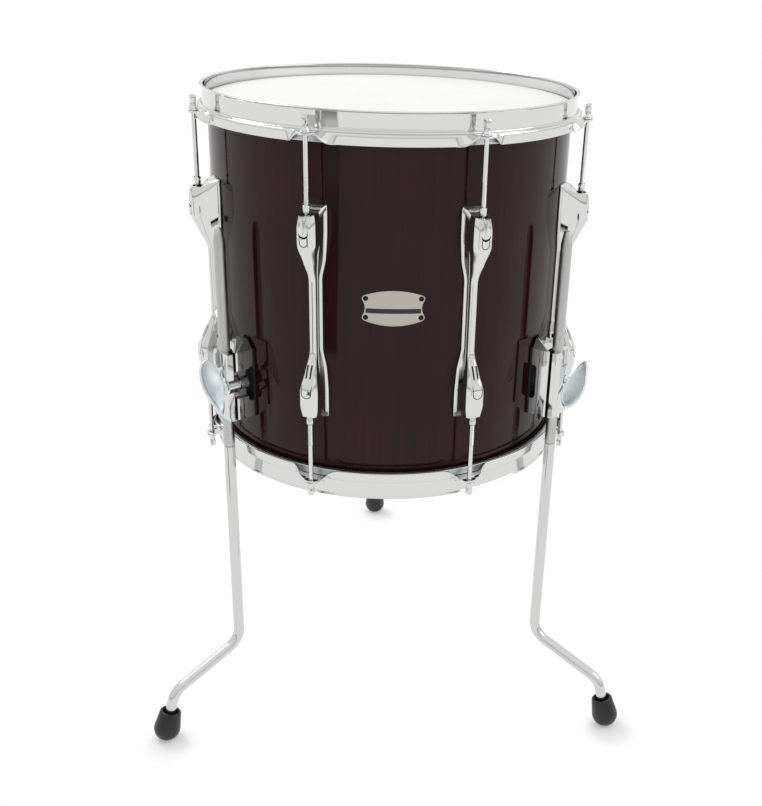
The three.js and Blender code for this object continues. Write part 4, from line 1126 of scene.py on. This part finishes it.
def buildWorld():
    look = worldLook
    world = bpy.data.worlds.new("studio")
    scene.world = world
    world.use_nodes = True
    tree = world.node_tree
    way = addNode(tree, "TexCoord").outputs["Generated"]
    parts = addNode(tree, "SeparateXYZ", {"Vector": way})
    front = addNode(tree, "MapRange", {"Value": parts.outputs["Y"], "From Min": look["roomFrom"],
                                       "From Max": look["roomTo"], "To Min": look["side"],
                                       "To Max": look["room"]})
    high = addNode(tree, "MapRange", {"Value": parts.outputs["Z"], "From Min": look["topFrom"],
                                      "From Max": look["topTo"], "To Min": 0.0, "To Max": look["top"]})
    fromStrip = addNode(tree, "Math", {0: parts.outputs["Z"], 1: look["stripAt"]}, operation="SUBTRACT")
    apart = addNode(tree, "Math", {0: fromStrip}, operation="ABSOLUTE")
    strip = addNode(tree, "MapRange", {"Value": apart, "From Min": look["stripHalf"],
                                       "From Max": look["stripEnd"], "To Min": look["strip"], "To Max": 1.0})
    banded = addNode(tree, "Math", {0: front, 1: strip}, operation="MULTIPLY")
    room = addNode(tree, "Math", {0: banded, 1: high}, operation="MAXIMUM")
    rays = addNode(tree, "LightPath")
    mirror = addNode(tree, "Math", {0: room, 1: rays.outputs["Is Glossy Ray"]}, operation="MULTIPLY")
    plain = addNode(tree, "Math", {0: rays.outputs["Is Diffuse Ray"], 1: look["light"]}, operation="MULTIPLY")
    seen = addNode(tree, "Math", {0: rays.outputs["Is Camera Ray"], 1: rays.outputs["Is Transmission Ray"]},
                   operation="MAXIMUM")
    shown = addNode(tree, "Math", {0: seen, 1: mirror}, operation="MAXIMUM")
    total = addNode(tree, "Math", {0: shown, 1: plain}, operation="MAXIMUM")
    background = tree.nodes["Background"]
    background.inputs["Color"].default_value = toLinear("#ffffff")
    tree.links.new(total.outputs["Value"], background.inputs["Strength"])


# Floor: plain white to the camera and mirrors, with the lit surface mixed in near each foot for its shadow.
# Mirrors also see two darker sectors in front of the drum, their reaches in metres and angles in degrees.
floorLook = {"shadeReach": 14, "fadeReach": 36, "shift": (4, -14), "footInset": 4, "nearWhite": 0.25,
             "farWhite": 0.99, "allWhiteAt": 1500, "standAngle": -36.4, "standHalf": 4.7, "standSoft": 0.6,
             "standFrom": 1.4, "standFade": 0.1, "standTo": 1.9, "standShade": 0.08, "pastTo": 6.0,
             "pastShade": 0.6, "besideAngle": -46, "besideHalf": 6, "besideSoft": 1.5, "besideFrom": 4.2,
             "besideFade": 0.42, "cell": 3, "cells": 8, "below": 0.0002}


# White away from the feet, and the lit surface beside them
def footWhite(tree, spot):
    look, nearest = floorLook, None
    footReach = (legSizes["circle"] + legSizes["footOut"] - look["footInset"]) * mm
    for angle in legAngles.values():
        turn = math.radians(angle)
        foot = axisPlace + Vector((math.sin(turn), -math.cos(turn), 0)) * footReach
        foot += Vector((*look["shift"], 0)) * mm
        apart = addNode(tree, "VectorMath", {0: spot, 1: foot}, operation="DISTANCE")
        nearest = addNode(tree, "Math", {0: nearest, 1: apart}, operation="MINIMUM") if nearest else apart
    away = addNode(tree, "MapRange", {"Value": nearest, "From Min": look["shadeReach"] * mm,
                                      "From Max": look["fadeReach"] * mm, "To Min": look["nearWhite"],
                                      "To Max": look["farWhite"]}, interpolation_type="SMOOTHSTEP")
    far = addNode(tree, "MapRange", {"Value": nearest, "From Min": look["allWhiteAt"] * mm / 2,
                                     "From Max": look["allWhiteAt"] * mm})
    return addNode(tree, "Math", {0: away, 1: far}, operation="MAXIMUM")


# How bright mirrors see each spot of the floor
def mirroredWhite(tree, spot):
    look = floorLook
    fromDrum = addNode(tree, "VectorMath", {0: spot, 1: axisPlace}, operation="SUBTRACT")
    reach = addNode(tree, "VectorMath", {0: fromDrum}, operation="LENGTH")
    ground = addNode(tree, "SeparateXYZ", {"Vector": fromDrum})
    ahead = addNode(tree, "Math", {0: ground.outputs["Y"], 1: -1.0}, operation="MULTIPLY")
    azimuth = addNode(tree, "Math", {0: ground.outputs["X"], 1: ahead}, operation="ARCTAN2")

    def outside(angle, half, soft, shade):
        aside = addNode(tree, "Math", {0: azimuth, 1: math.radians(angle)}, operation="SUBTRACT")
        apart = addNode(tree, "Math", {0: aside}, operation="ABSOLUTE")
        return addNode(tree, "MapRange", {"Value": apart, "From Min": math.radians(half - soft),
                                          "From Max": math.radians(half + soft), "To Min": shade})

    stand = outside(look["standAngle"], look["standHalf"], look["standSoft"], 0.0)
    short = addNode(tree, "MapRange", {"Value": reach, "From Min": look["standFrom"],
                                       "From Max": look["standFrom"] - look["standFade"]})
    clear = addNode(tree, "Math", {0: stand, 1: short}, operation="MAXIMUM")
    beyond = addNode(tree, "MapRange", {"Value": reach, "From Min": look["standTo"],
                                        "From Max": look["pastTo"], "To Min": look["standShade"],
                                        "To Max": look["pastShade"]})
    bright = addNode(tree, "Math", {0: clear, 1: beyond}, operation="MAXIMUM")
    beside = outside(look["besideAngle"], look["besideHalf"], look["besideSoft"], look["pastShade"])
    near = addNode(tree, "MapRange", {"Value": reach, "From Min": look["besideFrom"] + look["besideFade"],
                                      "From Max": look["besideFrom"]})
    edge = addNode(tree, "Math", {0: beside, 1: near}, operation="MAXIMUM")
    return addNode(tree, "Math", {0: bright, 1: edge}, operation="MULTIPLY")


def buildFloor():
    material, tree, shader = newMaterial("whiteStudioFloor", Base_Color=toLinear("#ffffff"), Roughness=0.6,
                                         Specular_IOR_Level=0.2)
    rays = addNode(tree, "LightPath")
    spot = addNode(tree, "NewGeometry").outputs["Position"]
    seen = addNode(tree, "Math", {0: mirroredWhite(tree, spot), 1: rays.outputs["Is Camera Ray"]},
                   operation="MAXIMUM")
    emission = addNode(tree, "Emission", {"Color": toLinear("#ffffff"), "Strength": seen})
    share = addNode(tree, "Math", {0: rays.outputs["Is Camera Ray"], 1: rays.outputs["Is Glossy Ray"]},
                    operation="MAXIMUM")
    part = addNode(tree, "Math", {0: share, 1: footWhite(tree, spot)}, operation="MULTIPLY")
    blend = addNode(tree, "MixShader", {0: part, 1: shader, 2: emission})
    tree.links.new(blend.outputs[0], tree.nodes["Material Output"].inputs["Surface"])
    cell, count = floorLook["cell"], floorLook["cells"]
    steps = [cell * (i - count / 2) for i in range(count + 1)]
    verts = [(x, y, -floorLook["below"]) for x in steps for y in steps]
    faces = []
    for i in range(count):
        for j in range(count):
            here, there = (count + 1) * i + j, (count + 1) * (i + 1) + j
            faces.append((here, there, there + 1, here + 1))
    mesh = bpy.data.meshes.new("floorMesh")
    mesh.from_pydata(verts, [], faces)
    mesh.materials.append(material)
    floor = bpy.data.objects.new("studioFloor", mesh)
    scene.collection.objects.link(floor)


# Lamps: two square panels, places in metres
lampPanels = {"keyPanel": {"at": (-1.3, 0.9, 2.3), "aim": (0, 0, 0.3), "side": 0.9, "power": 13.0},
              "fillPanel": {"at": (1.9, -0.6, 1.8), "aim": (0, 0, 0.5), "side": 1.4, "power": 7.0}}


def buildLamps():
    for name, panel in lampPanels.items():
        lamp = bpy.data.lights.new(name, "AREA")
        lamp.shape, lamp.energy = "RECTANGLE", panel["power"]
        lamp.size = lamp.size_y = panel["side"]
        holder = bpy.data.objects.new(name, lamp)
        holder.location = panel["at"]
        aim = Vector(panel["aim"]) - Vector(panel["at"])
        holder.rotation_euler = aim.to_track_quat("-Z", "Y").to_euler()
        scene.collection.objects.link(holder)


# Camera: fitted to the photo, with the lens in pixels of its height and the place from the drum's axis
cameraSizes = {"distance": 1200.7, "height": 875.9, "pitch": 23.685, "yaw": 2.617, "roll": 1.916,
               "turn": 1.645, "focal": 1043.2, "centreX": 430, "centreY": 400, "wide": 762, "tall": 806,
               "sensor": 36}


def buildCamera():
    s = cameraSizes
    turn, yaw, pitch, roll = (math.radians(s[k]) for k in ("turn", "yaw", "pitch", "roll"))
    heading = yaw + turn
    ahead = Vector((math.sin(heading), math.cos(heading), 0))
    right = Vector((math.cos(heading), -math.sin(heading), 0))
    look = ahead * math.cos(pitch) - Vector((0, 0, math.sin(pitch)))
    up = right.cross(look)
    rolledRight = right * math.cos(roll) + up * math.sin(roll)
    rolledUp = up * math.cos(roll) - right * math.sin(roll)
    lens = bpy.data.cameras.new("photoCamera")
    lens.sensor_width = s["sensor"]
    lens.lens = s["focal"] / s["tall"] * s["sensor"]
    lens.shift_x = (s["wide"] / 2 - s["centreX"]) / s["tall"]
    lens.shift_y = (s["centreY"] - s["tall"] / 2) / s["tall"]
    lens.clip_start, lens.clip_end = 0.05, 50
    holder = bpy.data.objects.new("photoCamera", lens)
    scene.collection.objects.link(holder)
    frameAxes = Matrix((rolledRight, rolledUp, -look)).transposed().to_4x4()
    spot = axisPlace + Vector((-math.sin(turn), -math.cos(turn), 0)) * s["distance"] * mm
    holder.matrix_world = Matrix.Translation(spot + Vector((0, 0, s["height"] * mm))) @ frameAxes
    scene.camera = holder


buildWorld()
buildFloor()
buildLamps()
buildCamera()
scene.render.resolution_x, scene.render.resolution_y = cameraSizes["wide"], cameraSizes["tall"]
print("stage and camera set")
